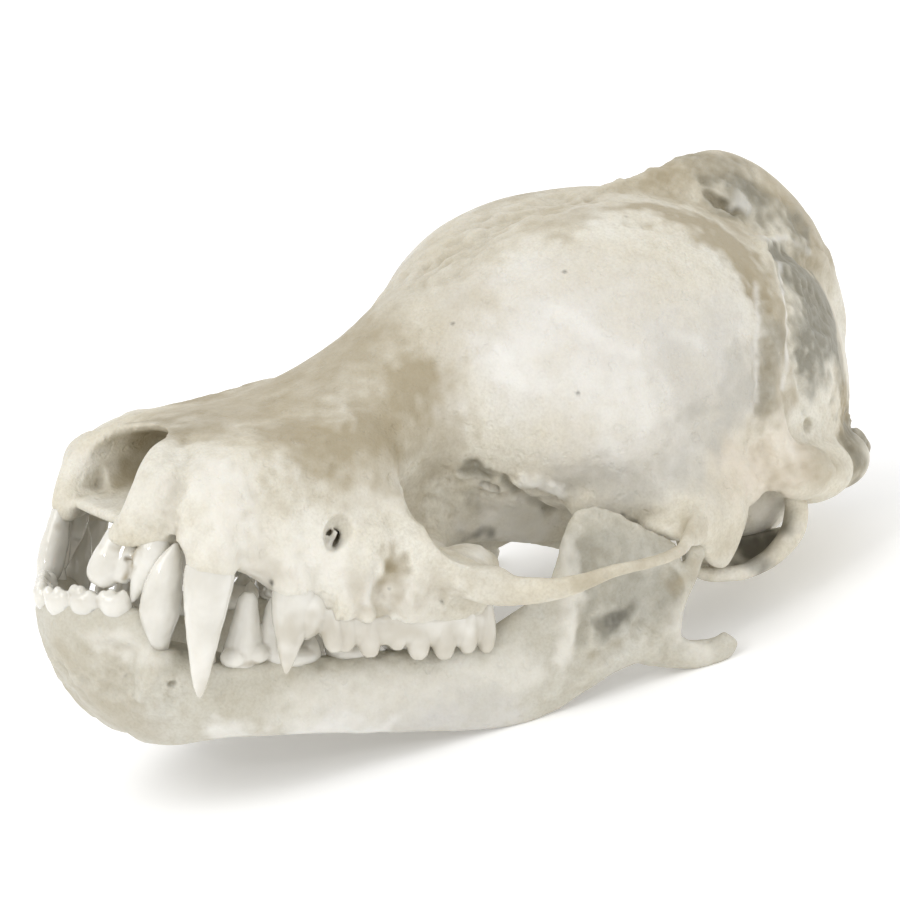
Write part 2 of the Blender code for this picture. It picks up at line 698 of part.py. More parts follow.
def jaw_angle(side):
    """Hooked angular process at the rear lower corner."""
    return sweep("jaw_angle", [
        (4.80, 12.2, 1.72, 0.26, 0.40),
        (4.98, 12.9, 1.58, 0.28, 0.38),
        (5.12, 13.5, 1.50, 0.30, 0.34),
        (5.22, 14.0, 1.58, 0.29, 0.31),
        (5.26, 14.25, 1.86, 0.22, 0.24),
    ], side)


def lower_teeth(side):
    """Three incisors, the canine, two premolars and three molars of one side."""
    blunt = (0.80, 0.9, 1.0, 1.0, 0.85, 0.55)
    leaf = (0.55, 0.85, 1.0, 0.70, 0.34, 0.10)
    bell = (0.95, 1.0, 0.80, 0.52, 0.36, 0.14)
    teeth = []
    for x, y in ((0.40, -0.20), (0.92, 0.08), (1.48, 0.54)):
        teeth.append(cone("lower_incisor", side, (x, y + 0.15, 2.45), (x, y, 3.42), 0.30, 0.28, blunt))
    teeth += [
        cone("lower_canine", side, (2.12, 1.26, 2.20), (2.44, 1.60, 5.02), 0.42, 0.50, leaf),
        cone("lower_premolar_small", side, (2.45, 2.25, 2.00), (2.52, 2.20, 3.05), 0.30, 0.30, bell),
        cone("lower_premolar", side, (2.74, 3.06, 1.90), (2.84, 2.94, 3.70), 0.38, 0.52, bell),
    ]
    for middle, half_length in ((4.35, 0.68), (5.75, 0.68), (7.10, 0.62)):
        x = 2.62 + 0.10 * (middle - 4.35)
        teeth.append(ball("lower_molar_body", (x + 0.10, middle, 2.10), (0.42, half_length, 0.30), side))
        for step in (-0.36, 0.34):
            y = middle + step
            teeth.append(cone("lower_cusp", side, (x + 0.20, y, 2.0), (x + 0.18, y, 2.66), 0.24, 0.26))
            teeth.append(cone("lower_inner_cusp", side, (x - 0.16, y, 2.0), (x - 0.18, y, 2.50), 0.18, 0.22))
    return teeth


def jaw_cuts(side):
    """Masseteric hollow on the outer face of the rising branch."""
    return [ball("masseter_hollow", (5.36, 11.75, 2.90), (0.50, 1.35, 1.15), side, (0.0, 0.0, 12.0))]


def half_jaw(side):
    pieces = [jaw_body(side), jaw_condyle(side), jaw_angle(side)]
    body = fused("half_jaw", pieces, jaw_cuts(side))
    teeth = remesh(gather("lower_teeth", lower_teeth(side)), VOXEL)
    return boolean(body, teeth, "UNION")


# Ear ring

def ear_ring(side):
    """Tympanic ring with the cup that it carries inward below the cochlea."""
    middle_y, middle_z, radius = 15.80, 4.00, 1.16
    start, end = radians(158), radians(395)
    rows = []
    for k in range(17):
        angle = start + (end - start) * k / 16
        size = 0.14 + 0.05 * min(k, 16 - k, 3)
        rows.append((4.05 + 0.30 * sin(angle), middle_y + radius * cos(angle),
                     middle_z + radius * sin(angle), size, size * 0.9))
    ring = sweep("ring", rows, side, count=50, flat=(1.0, 0.0, 0.0))
    cup = ball("cup", (3.70, middle_y, 3.92), (0.85, 1.24, 1.18), side)
    hollow = ball("cup_hollow", (4.10, middle_y, 4.10), (1.00, 0.96, 1.02), side)
    above = block("cup_above", (-9.0, 13.0, 4.30), (9.0, 19.0, 6.0))
    bulla = boolean(remesh(cup, VOXEL), remesh(hollow, VOXEL), "DIFFERENCE")
    bulla = boolean(bulla, above, "DIFFERENCE")
    return soften(remesh(gather("ear_ring", [bulla, ring]), VOXEL), 2)


def parted(source, name, low, high, triangles, without=()):
    """The part of a whole form that lies inside a box and outside some others."""
    piece = boolean(copy_of(source, name), block("region", low, high), "INTERSECT")
    for box in without:
        piece = boolean(piece, block("region", *box), "DIFFERENCE")
    return thin_out(largest_only(piece), triangles)


def arch_box(side, grow):
    """Block that holds one cheek arch between its two roots, grown on every face."""
    inner, outer = ARCH_IN - grow, 9.0
    xs = sorted((side * inner, side * outer))
    return (xs[0], ARCH_FRONT - grow, 2.0), (xs[1], ARCH_REAR + grow, 6.5)


def lay_down(thing):
    """Lean the piece back with the whole skull and plane off what would sink into the floor."""
    thing.data.transform(Matrix.Translation((0.0, -REST_MIDDLE_Y, -REST_FLOOR_Z)) @ Matrix.Rotation(-REST_LEAN, 4, "X"))
    if min(point.co.z for point in thing.data.vertices) < 0.0:
        boolean(thing, block("below_floor", (-20.0, -20.0, -5.0), (20.0, 20.0, 0.0)), "DIFFERENCE")
    return thing


def finish(thing, name, colour, home):
    """Rest pose, metres, own material and smooth shading."""
    lay_down(thing)
    thing.name = name
    thing.data.name = name
    thing.data.transform(Matrix.Scale(MM, 4))
    material = bpy.data.materials.new(name)
    material.use_nodes = True
    surface = material.node_tree.nodes["Principled BSDF"]
    surface.inputs["Base Color"].default_value = colour
    surface.inputs["Roughness"].default_value = 0.5
    surface.inputs["Metallic"].default_value = 0.0
    thing.data.materials.clear()
    thing.data.materials.append(material)
    thing.data.shade_smooth()
    for other in list(thing.users_collection):
        other.objects.unlink(thing)
    home.objects.link(thing)
    return thing


def main():
    clear_scene()
    home = collection("bat_skull")
    cranium = whole_cranium()
    far = 40.0
    half_gap = GAP / 2
    boxes = [arch_box(side, half_gap) for side in (1, -1)]
    front = parted(cranium, "rostrum", (-far, -far, -far), (far, SPLIT_Y - half_gap, far), 4700, boxes)
    rear = parted(cranium, "braincase", (-far, SPLIT_Y + half_gap, -far), (far, far, far), 4000, boxes)
    nodes = {"rostrum": (front, PALE_BONE), "braincase": (rear, BONE)}
    for side, word in ((1, "left"), (-1, "right")):
        arch = parted(cranium, "arch", *arch_box(side, -half_gap), 500)
        nodes["zygomatic_arch_" + word] = (arch, BONE)
    for side, word in ((1, "left"), (-1, "right")):
        jaw = boolean(half_jaw(side), swollen(cranium, GAP), "DIFFERENCE")
        ring = boolean(ear_ring(side), swollen(cranium, GAP), "DIFFERENCE")
        nodes["mandible_" + word] = (thin_out(largest_only(jaw), 1900), JAW_BONE)
        nodes["tympanic_ring_" + word] = (thin_out(largest_only(ring), 480), PALE_BONE)
    bpy.data.objects.remove(cranium, do_unlink=True)
    for name, (thing, colour) in nodes.items():
        finish(thing, name, colour, home)


main()
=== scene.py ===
# %% [markdown]
# # A bat skull, life size
#
# The skull of a small insect-eating bat, cleaned and dry, with its lower jaw in place. It is
# only about two centimetres long, so every shape here is worked out in millimetres and turned
# into metres at the end. The solids of the part give the frame. This script lays a finer skin
# over each of them, with sutures, pits and roots, adds the enamel of the teeth, and then
# gives bone and enamel their own materials.

from math import cos, pi, radians, sin

import bmesh
import bpy
import numpy as np
from mathutils import Matrix, Vector


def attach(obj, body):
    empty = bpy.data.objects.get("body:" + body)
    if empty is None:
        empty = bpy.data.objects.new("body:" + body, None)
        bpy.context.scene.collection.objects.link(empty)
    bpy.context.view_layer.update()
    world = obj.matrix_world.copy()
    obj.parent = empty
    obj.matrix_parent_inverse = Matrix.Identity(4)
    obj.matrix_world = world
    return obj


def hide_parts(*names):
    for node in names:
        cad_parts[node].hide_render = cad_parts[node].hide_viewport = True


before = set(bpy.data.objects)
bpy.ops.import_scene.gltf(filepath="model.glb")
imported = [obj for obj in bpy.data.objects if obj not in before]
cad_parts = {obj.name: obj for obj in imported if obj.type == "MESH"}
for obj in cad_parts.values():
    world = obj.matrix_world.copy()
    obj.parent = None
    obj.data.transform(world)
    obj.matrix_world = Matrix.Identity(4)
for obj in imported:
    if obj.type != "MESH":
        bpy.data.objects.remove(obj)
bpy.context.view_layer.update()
print("solids:", sorted(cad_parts))

# %% [markdown]
# The skull's own frame has +X to the animal's left, +Y back from the front teeth and +Z up,
# with zero height at the lower edge of the chin. A real skull of this kind can't balance on
# its chin: it tips back until the hooked rear corners of the jaws touch. So the finished
# pieces are leaned back by the same angle as the solids, and slid so that the flats under the
# jaws meet the floor.

# %% Rest pose shared with the solids
MM = 0.001
REST_LEAN = radians(14.0)
REST_FLOOR_Z = -2.08
REST_MIDDLE_Y = 11.2
TO_REST = (Matrix.Scale(MM, 4) @ Matrix.Translation((0.0, -REST_MIDDLE_Y, -REST_FLOOR_Z))
           @ Matrix.Rotation(-REST_LEAN, 4, "X"))
print("leaned back by", round(REST_LEAN * 180 / pi, 1), "degrees")

# %% [markdown]
# ## The camera first
#
# The photograph was taken from the animal's left and front, a little above. The camera is
# placed in the skull's own frame and then leaned back with it, so that it sees the skull as
# the photograph does. A long lens keeps the perspective as gentle as in the photograph.

# %% Camera
VIEW_TURN = radians(60.0)
VIEW_RISE = radians(12.3)
VIEW_DISTANCE = 110.0
PIXELS_PER_MM = 43.6
FRAME_PIXELS = 900
AIM_POINT = Vector((0.0, 9.0977, 5.1598))
AIM_PIXEL = (418.6, 475.0)
SENSOR_WIDTH = 36.0
NEAREST_SEEN = 0.005

view_back = Vector((sin(VIEW_TURN) * cos(VIEW_RISE), -cos(VIEW_TURN) * cos(VIEW_RISE), sin(VIEW_RISE)))
view_right = Vector((cos(VIEW_TURN), sin(VIEW_TURN), 0.0))
view_up = view_back.cross(view_right)
view_axes = Matrix((view_right, view_up, view_back)).transposed()

lens = bpy.data.cameras.new("camera")
camera = bpy.data.objects.new("camera", lens)
bpy.context.scene.collection.objects.link(camera)
place, camera_turn, _ = (TO_REST @ Matrix.Translation(AIM_POINT + view_back * VIEW_DISTANCE)
                         @ view_axes.to_4x4()).decompose()
camera.matrix_world = Matrix.Translation(place) @ camera_turn.to_matrix().to_4x4()
lens.sensor_width = SENSOR_WIDTH
lens.lens = SENSOR_WIDTH * PIXELS_PER_MM * VIEW_DISTANCE / FRAME_PIXELS
lens.shift_x = (FRAME_PIXELS / 2 - AIM_PIXEL[0]) / FRAME_PIXELS
lens.shift_y = (AIM_PIXEL[1] - FRAME_PIXELS / 2) / FRAME_PIXELS
lens.clip_start = NEAREST_SEEN
bpy.context.scene.camera = camera
print("camera", [round(v, 4) for v in place], "lens", round(lens.lens, 1))

# %% [markdown]
# ## Modelling tools
#
# Bone has no flat or round stock shapes, so three kinds of rough form are enough: a long form
# lofted through upright rounded rings, a tapered rod swept along a curve, and a ball pulled
# into an ellipsoid. Between the few stations that are given, a smooth curve that never
# overshoots fills in the rest. The tables describe the left side, and `form` holds one of
# these shapes back until a side is chosen.

# %% Smooth curves and lofts
SIDES = 40
ACROSS, ALONG, UPWARD = (1.0, 0.0, 0.0), (0.0, 1.0, 0.0), (0.0, 0.0, 1.0)


def smooth_rows(rows, count):
    """Rows of numbers along a rising first column, redrawn as `count` rows on a smooth curve."""
    rows = np.array(rows, dtype=float)
    steps = np.diff(rows, axis=0)
    secant = steps / steps[:, :1]
    before, after = secant[:-1], secant[1:]
    same = before * after > 0
    total = np.where(same, before + after, 1.0)
    slopes = np.vstack([secant[:1], np.where(same, 2 * before * after / total, 0.0), secant[-1:]])
    at = np.linspace(rows[0, 0], rows[-1, 0], count)
    left = np.clip(np.searchsorted(rows[:, 0], at, side="right") - 1, 0, len(steps) - 1)
    span = steps[left, :1]
    u = (at - rows[left, 0])[:, None] / span
    start, end = rows[left], rows[left + 1]
    return ((1 + 2 * u) * (1 - u) ** 2 * start + u * (1 - u) ** 2 * span * slopes[left]
            + u * u * (3 - 2 * u) * end - u * u * (1 - u) * span * slopes[left + 1])


def link_mesh(name, shell):
    """New object from a bmesh, which is used up."""
    mesh = bpy.data.meshes.new(name)
    shell.to_mesh(mesh)
    shell.free()
    thing = bpy.data.objects.new(name, mesh)
    bpy.context.scene.collection.objects.link(thing)
    return thing


def loft(name, rings):
    """Closed skin over a row of rings with the same number of points."""
    rings = np.asarray(rings, dtype=float)
    count, sides = rings.shape[:2]
    faces = [tuple(range(sides)), tuple((count - 1) * sides + k for k in range(sides))]
    for row in range(count - 1):
        for k in range(sides):
            a = row * sides + k
            b = row * sides + (k + 1) % sides
            faces.append((a, b, b + sides, a + sides))
    rough = bpy.data.meshes.new(name)
    rough.from_pydata([tuple(p) for p in rings.reshape(-1, 3)], [], faces)
    shell = bmesh.new()
    shell.from_mesh(rough)
    bpy.data.meshes.remove(rough)
    bmesh.ops.recalc_face_normals(shell, faces=shell.faces)
    return link_mesh(name, shell)


def section(y, middle, half, waist, top, bottom, power):
    """Upright rounded ring at one y: middle and half width in x, waist, top and bottom in z."""
    turn = np.linspace(0.0, 2 * pi, SIDES, endpoint=False)
    across = np.sign(np.cos(turn)) * np.abs(np.cos(turn)) ** (2 / power)
    upward = np.sign(np.sin(turn)) * np.abs(np.sin(turn)) ** (2 / power)
    z = waist + np.where(upward > 0, top - waist, waist - bottom) * upward
    return np.stack([middle + half * across, np.full(SIDES, y), z], axis=1)


def long_form(name, stations, count, side=1):
    """Loft along y through stations (y, middle, half, waist, top, bottom, power)."""
    rows = smooth_rows(stations, count)
    return loft(name, [section(row[0], side * row[1], *row[2:]) for row in rows])


def sweep(name, stations, side=1, count=22, sides=16, flat=UPWARD):
    """Tapered rod through stations (x, y, z, half width, half height); height lies along flat."""
    given = np.array(stations, dtype=float)
    given[:, 0] *= side
    run = np.concatenate([[0.0], np.cumsum(np.linalg.norm(np.diff(given[:, :3], axis=0), axis=1))])
    rows = smooth_rows(np.column_stack([run, given]), count)[:, 1:]
    along = np.gradient(rows[:, :3], axis=0)
    along /= np.linalg.norm(along, axis=1)[:, None]
    wide = np.cross(along, np.array(flat) * (side, 1.0, 1.0))
    wide /= np.linalg.norm(wide, axis=1)[:, None]
    high = np.cross(wide, along)
    turn = np.linspace(0.0, 2 * pi, sides, endpoint=False)[None, :, None]
    rings = (rows[:, None, :3] + np.cos(turn) * wide[:, None] * rows[:, None, 3:4]
             + np.sin(turn) * high[:, None] * rows[:, None, 4:5])
    return loft(name, rings)


def ball(name, centre, radii, side=1, tilt=(0.0, 0.0, 0.0)):
    """Ellipsoid; tilt is in degrees about x, y and z."""
    shell = bmesh.new()
    bmesh.ops.create_uvsphere(shell, u_segments=32, v_segments=20, radius=1.0)
    turn = Matrix.Rotation(side * radians(tilt[2]), 4, "Z") @ Matrix.Rotation(
        side * radians(tilt[1]), 4, "Y") @ Matrix.Rotation(radians(tilt[0]), 4, "X")
    place = Matrix.Translation((side * centre[0], centre[1], centre[2]))
    shell.transform(place @ turn @ Matrix.Diagonal((*radii, 1.0)))
    return link_mesh(name, shell)


def form(maker, name, *values, **settings):
    """One of the shapes above, made later for the side that is asked for."""
    return lambda side=1: maker(name, *values, side=side, **settings)


def both_sides(middle, paired):
    """Make the middle forms once, then the paired ones on the left and on the right."""
    return [make() for make in middle] + [make(side) for side in (1, -1) for make in paired]


print("lofts have", SIDES, "points a ring")

# %% [markdown]
# Overlapping rough forms become one skin with a voxel remesh: Blender fills the union with
# tiny cubes and wraps it. A few rounds of smoothing then melt the seams between the forms, as
# growing bone does. Coarse cubes with much smoothing suit the big vaults, fine cubes with
# little smoothing suit the thin plates. Hollows are cut with Booleans between the two.

# %% One skin from many forms
SOFTEN_STEP = 0.5
VAULT_VOXEL, VAULT_ROUNDS = 0.12, 22
PLATE_VOXEL, PLATE_ROUNDS = 0.07, 5
SKIN_VOXEL, SKIN_ROUNDS = 0.055, 4
HOLLOW_ROUNDS, RING_ROUNDS, JAW_ROUNDS = 2, 3, 7
SIDE_WORDS = ((1, "left"), (-1, "right"))


def gather(name, things):
    """One object from several closed pieces, still overlapping."""
    shell = bmesh.new()
    for thing in things:
        shell.from_mesh(thing.data)
        bpy.data.objects.remove(thing, do_unlink=True)
    return link_mesh(name, shell)


def settle(thing):
    """Apply a piece's modifiers."""
    shape = thing.evaluated_get(bpy.context.evaluated_depsgraph_get())
    mesh = bpy.data.meshes.new_from_object(shape)
    thing.modifiers.clear()
    thing.data = mesh
    return thing


def remesh(thing, voxel):
    skin = thing.modifiers.new("skin", "REMESH")
    skin.mode = "VOXEL"
    skin.voxel_size = voxel
    skin.adaptivity = 0.0
    return settle(thing)


def soften(thing, rounds):
    step = thing.modifiers.new("soften", "SMOOTH")
    step.factor = SOFTEN_STEP
    step.iterations = rounds
    return settle(thing)


def cut(thing, other):
    """Take another closed piece out of this one; the other is used up."""
    step = thing.modifiers.new("cut", "BOOLEAN")
    step.operation = "DIFFERENCE"
    step.solver = "MANIFOLD"
    step.object = other
    settle(thing)
    bpy.data.objects.remove(other, do_unlink=True)
    return thing


def melted(name, pieces, voxel, rounds):
    """Overlapping pieces as one softened skin."""
    return soften(remesh(gather(name, pieces), voxel), rounds)


print("finest skin voxel", SKIN_VOXEL, "mm")

# %% [markdown]
# The last tool works like a fingertip on clay. A stroke follows a short line over the skin
# and pushes the points near it out or in along their normals, strongest on the line and
# fading to nothing at its radius. The same line can also lay a stain: it writes a number to
# each point that the material reads later. Bones of the two sides are mirror images, so
# every stroke works on both at once. A smooth random drift frays its outline, since nothing
# on bone ends in a clean edge.

# %% Strokes and stains
FRAY = 0.34
DRIFT_SIZE, FINE_DRIFT_SIZE, FINE_DRIFT_SHARE = 1.3, 0.45, 0.6


class Skin:
    """The points of one mesh, ready to be pushed and stained by strokes."""

    def __init__(self, thing):
        self.thing = thing
        self.count = len(thing.data.vertices)
        self.points = np.empty(self.count * 3, dtype=np.float32)
        thing.data.vertices.foreach_get("co", self.points)
        self.points = self.points.reshape(-1, 3)
        self.stains = {}
        self.drift = np.stack([
            waves(self.points, DRIFT_SIZE, seed)
            + FINE_DRIFT_SHARE * waves(self.points, FINE_DRIFT_SIZE, seed + 3)
            for seed in (1, 2, 3)], axis=1)
        self.read_normals()

    def read_normals(self):
        normals = np.empty(self.count * 3, dtype=np.float32)
        self.thing.data.vertices.foreach_get("normal", normals)
        self.normals = normals.reshape(-1, 3)

    def near(self, path, radius):
        """Weight from 1 on the path to 0 at the radius, with a frayed outline."""
        path = np.array(path, dtype=np.float32)
        here = self.points.copy()
        here[:, 0] = np.abs(here[:, 0])
        here += self.drift * (FRAY * min(radius, 1.0))
        low = path.min(axis=0) - radius
        high = path.max(axis=0) + radius
        inside = np.nonzero(((here > low) & (here < high)).all(axis=1))[0]
        here = here[inside]
        closest = np.full(len(here), np.inf, dtype=np.float32)
        if len(path) == 1:
            closest = np.linalg.norm(here - path[0], axis=1)
        for start, end in zip(path[:-1], path[1:]):
            step = end - start
            share = np.clip((here - start) @ step / (step @ step), 0.0, 1.0)
            closest = np.minimum(closest, np.linalg.norm(here - start - share[:, None] * step, axis=1))
        weight = np.zeros(self.count, dtype=np.float32)
        weight[inside] = np.clip(1 - (closest / radius) ** 2, 0.0, 1.0) ** 2
        return weight

    def push(self, path, radius, height):
        self.points += self.normals * (self.near(path, radius) * height)[:, None]

    def roughen(self, path, radius, height, size, seed):
        """Uneven surface with hills about `size` across."""
        hills = waves(self.points, size, seed) + 0.5 * waves(self.points, size * 0.4, seed + 1)
        self.points += self.normals * (self.near(path, radius) * hills * height)[:, None]

    def melt(self, path, radius, rounds):
        """Smooth the skin near a path, to blend a seam between two forms."""
        weight = self.near(path, radius)
        ends = np.empty(len(self.thing.data.edges) * 2, dtype=np.int32)
        self.thing.data.edges.foreach_get("vertices", ends)
        ends = ends.reshape(-1, 2)
        ends = ends[(weight[ends] > 0).any(axis=1)]
        here, other = np.concatenate([ends, ends[:, ::-1]]).T
        share = np.bincount(here, minlength=self.count)
        live = share > 0
        for _ in range(rounds):
            middle = np.stack([np.bincount(here, self.points[other, axis], self.count)
                               for axis in range(3)], axis=1)
            pull = middle[live] / share[live, None] - self.points[live]
            self.points[live] += (pull * weight[live, None]).astype(np.float32)

    def stain(self, name, path, radius, amount):
        coat = self.stains.setdefault(name, np.zeros(self.count, dtype=np.float32))
        np.maximum(coat, self.near(path, radius) * amount, out=coat)

    def store(self):
        """Write the pushed points and the stains back to the mesh."""
        mesh = self.thing.data
        mesh.vertices.foreach_set("co", self.points.ravel())
        mesh.update()
        for name, coat in self.stains.items():
            layer = mesh.attributes.get(name) or mesh.attributes.new(name, "FLOAT", "POINT")
            layer.data.foreach_set("value", coat)
        self.read_normals()


def waves(points, size, seed, count=24):
    """Smooth random field from -1 to 1 with hills about `size` across."""
    chance = np.random.default_rng(seed)
    ways = chance.normal(size=(count, 3)).astype(np.float32)
    ways *= (2 * pi / size / np.linalg.norm(ways, axis=1) * chance.uniform(0.6, 1.5, count))[:, None]
    starts = chance.uniform(0, 2 * pi, count).astype(np.float32)
    field = np.zeros(len(points), dtype=np.float32)
    for way, start in zip(ways, starts):
        field += np.sin(points @ way.astype(np.float32) + start)
    return field / count ** 0.5 / 1.5


print("strokes ready")

# %% [markdown]
# ## The braincase and snout
#
# Seen from the side the skull is one long form: a low snout, a steep forehead, a balloon of
# thin bone round the brain and a helmet-like crest at the back. One table of stations gives
# that whole run. The numbers are y, middle, half width, waist, top, bottom and squareness.

# %% Long run of the skull
CORE = form(long_form, "core", (
    (1.7, 0.0, 2.15, 5.4, 6.86, 4.6, 2.6),
    (2.6, 0.0, 2.66, 5.4, 7.02, 4.3, 2.6),
    (3.6, 0.0, 2.84, 5.4, 7.14, 4.15, 2.5),
    (4.8, 0.0, 2.94, 5.5, 7.28, 4.1, 2.4),
    (5.9, 0.0, 2.9, 5.7, 7.62, 4.15, 2.15),
    (6.9, 0.0, 2.62, 6.1, 8.12, 4.3, 2.0),
    (7.8, 0.0, 2.25, 6.5, 8.74, 4.6, 2.0),
    (8.5, 0.0, 2.15, 6.8, 9.35, 4.75, 2.0),
    (9.2, 0.0, 2.75, 7.0, 9.88, 4.65, 2.0),
    (10.2, 0.0, 3.7, 7.2, 10.5, 4.45, 2.2),
    (11.3, 0.0, 4.32, 7.3, 10.98, 4.25, 2.35),
    (12.7, 0.0, 4.65, 7.3, 11.3, 4.1, 2.4),
    (14.2, 0.0, 4.65, 7.1, 11.38, 4.0, 2.4),
    (15.8, 0.0, 4.42, 6.7, 11.1, 3.95, 2.3),
    (17.2, 0.0, 4.0, 6.3, 10.65, 3.95, 2.2),
    (18.4, 0.0, 3.35, 6.1, 10.05, 3.98, 2.1),
    (19.4, 0.0, 2.35, 6.0, 9.3, 4.05, 2.0),
    (20.1, 0.0, 1.35, 5.9, 8.45, 4.2, 2.0),
    (20.6, 0.0, 0.75, 5.85, 7.5, 4.5, 2.0),
    (20.85, 0.0, 0.35, 5.8, 6.5, 5.1, 2.0),
), 110)
CREST = form(long_form, "crest", (
    (12.8, 0.0, 0.3, 10.8, 11.24, 10.2, 1.55),
    (13.8, 0.0, 0.4, 10.8, 11.46, 10.2, 1.55),
    (14.8, 0.0, 0.55, 10.8, 11.68, 10.2, 1.55),
    (15.6, 0.0, 0.85, 10.7, 11.88, 10.0, 1.55),
    (16.4, 0.0, 1.15, 10.5, 12.08, 9.8, 1.55),
    (17.1, 0.0, 1.35, 10.3, 12.14, 9.6, 1.55),
    (18.0, 0.0, 1.4, 10.0, 11.86, 9.4, 1.55),
    (19.0, 0.0, 1.2, 9.5, 11.18, 9.0, 1.55),
    (19.8, 0.0, 0.95, 8.9, 10.32, 8.2, 1.55),
    (20.4, 0.0, 0.65, 8.2, 9.22, 7.4, 1.55),
    (20.85, 0.0, 0.35, 7.4, 8.0, 6.8, 1.55),
), 50)
print("long run: core and crest")

# %% [markdown]
# The upper jaw hangs below the snout as a wall that carries the teeth, and swells over their
# roots. A row of a swept rod is x, y, z, half width and half height, for the left side.

# %% Upper jaw and cheeks
# Tooth-bearing wall of the upper jaw, from the canine back past the last molar.
MAXILLA = form(long_form, "maxilla", (
    (1.45, 2.55, 0.42, 5.2, 5.95, 4.78, 2.2),
    (1.9, 2.72, 0.6, 5.3, 6.3, 4.5, 2.2),
    (2.6, 2.8, 0.66, 5.2, 6.4, 4.3, 2.3),
    (3.2, 2.82, 0.64, 4.9, 6.2, 4.05, 2.5),
    (3.8, 2.92, 0.68, 4.5, 6.0, 3.6, 2.8),
    (4.6, 3.12, 0.74, 4.1, 5.8, 3.15, 3.0),
    (5.4, 3.3, 0.78, 3.7, 5.4, 2.84, 3.2),
    (6.4, 3.4, 0.84, 3.5, 4.9, 2.7, 3.4),
    (7.4, 3.45, 0.88, 3.4, 4.45, 2.58, 3.4),
    (8.3, 3.5, 0.78, 3.3, 4.1, 2.54, 3.0),
    (8.8, 3.5, 0.5, 3.25, 3.85, 2.66, 2.4),
), 60)
# Side of the snout that slopes from the nasal bridge down to the tooth row.
CHEEK = form(long_form, "cheek", (
    (1.75, 1.75, 1.2, 5.7, 6.6, 5.2, 2.0),
    (2.6, 1.78, 1.6, 5.45, 6.88, 4.9, 2.0),
    (3.4, 1.8, 1.66, 5.3, 6.98, 4.7, 2.0),
    (4.6, 1.85, 1.82, 5.05, 7.08, 4.5, 2.0),
    (5.6, 1.9, 1.8, 4.9, 7.25, 4.3, 2.0),
    (6.5, 1.85, 1.45, 4.9, 7.4, 4.3, 2.0),
    (7.1, 1.6, 0.9, 5.0, 7.2, 4.6, 2.0),
), 50)
# Rounded end of the tooth-bearing bone behind the last molar.
REAR_MAXILLA = form(sweep, "rear_maxilla", (
    (3.25, 7.6, 3.66, 0.6, 0.52),
    (3.2, 8.5, 3.72, 0.54, 0.5),
    (3.1, 9.0, 3.66, 0.4, 0.4),
    (3.05, 9.32, 3.58, 0.2, 0.24),
))
# Place along the row, outer face and upper end of the swellings over the molars' roots.
MOLAR_ROOTS = ((4.95, 3.86, 3.9), (5.55, 3.94, 4.7), (6.45, 4.04, 4.5), (7.2, 4.12, 4.0))
TOOTH_ROOTS = (
    form(sweep, "canine_root", (
        (3.08, 2.06, 4.22, 0.4, 0.52),
        (3.06, 2.14, 4.52, 0.5, 0.62),
        (3.03, 2.28, 4.9, 0.53, 0.62),
        (2.9, 2.54, 5.36, 0.51, 0.55),
        (2.62, 2.92, 6.15, 0.4, 0.42),
        (2.1, 3.3, 6.8, 0.2, 0.2),
    ), flat=ALONG),
    form(sweep, "premolar_root", (
        (3.46, 3.92, 3.62, 0.34, 0.44),
        (3.42, 3.97, 3.95, 0.42, 0.54),
        (3.34, 4.0, 4.5, 0.34, 0.4),
        (3.06, 4.1, 5.4, 0.16, 0.18),
    ), flat=ALONG),
    *(form(sweep, "molar_root", (
        (outer - 0.04, y, 3.08 - 0.05 * (y - 5.0), 0.2, 0.24),
        (outer + 0.02, y, 3.5, 0.22, 0.22),
        (outer - 0.24, y + 0.05, top, 0.1, 0.1),
    ), flat=ALONG) for y, outer, top in MOLAR_ROOTS),
)
print("root swellings a side:", len(TOOTH_ROOTS))

# %% [markdown]
# A slim bone in front carries the incisors and edges the nasal opening. Behind it lie the
# roof of the mouth and the thin walls between the eye sockets.

# %% Nose, palate and inner walls
PREMAXILLA = (
    form(sweep, "premaxilla_rim", (
        (0.6, 2.8, 6.72, 0.24, 0.3),
        (1.1, 2.04, 6.58, 0.34, 0.36),
        (1.48, 1.62, 6.28, 0.42, 0.42),
        (1.68, 1.34, 5.88, 0.44, 0.44),
        (1.64, 1.1, 5.4, 0.42, 0.42),
        (1.46, 0.84, 4.98, 0.36, 0.38),
    ), flat=ACROSS),
    form(sweep, "premaxilla_edge", (
        (1.15, 0.64, 4.98, 0.2, 0.2),
        (1.45, 0.88, 4.98, 0.34, 0.26),
        (1.85, 1.35, 5.02, 0.34, 0.26),
        (2.2, 1.9, 5.08, 0.34, 0.28),
        (2.6, 2.5, 5.12, 0.36, 0.4),
    )),
    form(ball, "premaxilla_wing", (2.0, 1.85, 5.8), (0.52, 0.82, 0.85)),
)
# Vaulted roof of the mouth, notched in front by the cuts.
PALATE = form(long_form, "palate", (
    (1.6, 0.0, 2.3, 5.2, 5.45, 4.95, 2.6),
    (2.6, 0.0, 2.5, 5.0, 5.3, 4.7, 2.6),
    (4.0, 0.0, 2.6, 4.6, 4.9, 4.25, 2.6),
    (6.0, 0.0, 2.8, 4.25, 4.6, 3.9, 2.6),
    (8.0, 0.0, 2.9, 4.0, 4.4, 3.62, 2.6),
    (9.0, 0.0, 1.6, 3.9, 4.3, 3.55, 2.6),
    (9.6, 0.0, 0.7, 3.9, 4.2, 3.6, 2.6),
), 50)
# Thin shelf between the nasal opening and the notch of the palate.
NOSE_FLOOR = form(long_form, "nose_floor", (
    (0.8, 0.0, 1.3, 5.22, 5.34, 5.1, 3.0),
    (1.3, 0.0, 1.5, 5.26, 5.42, 5.08, 3.0),
    (2.2, 0.0, 1.6, 5.26, 5.46, 5.04, 3.0),
    (3.2, 0.0, 1.6, 5.2, 5.46, 4.9, 3.0),
), 20)
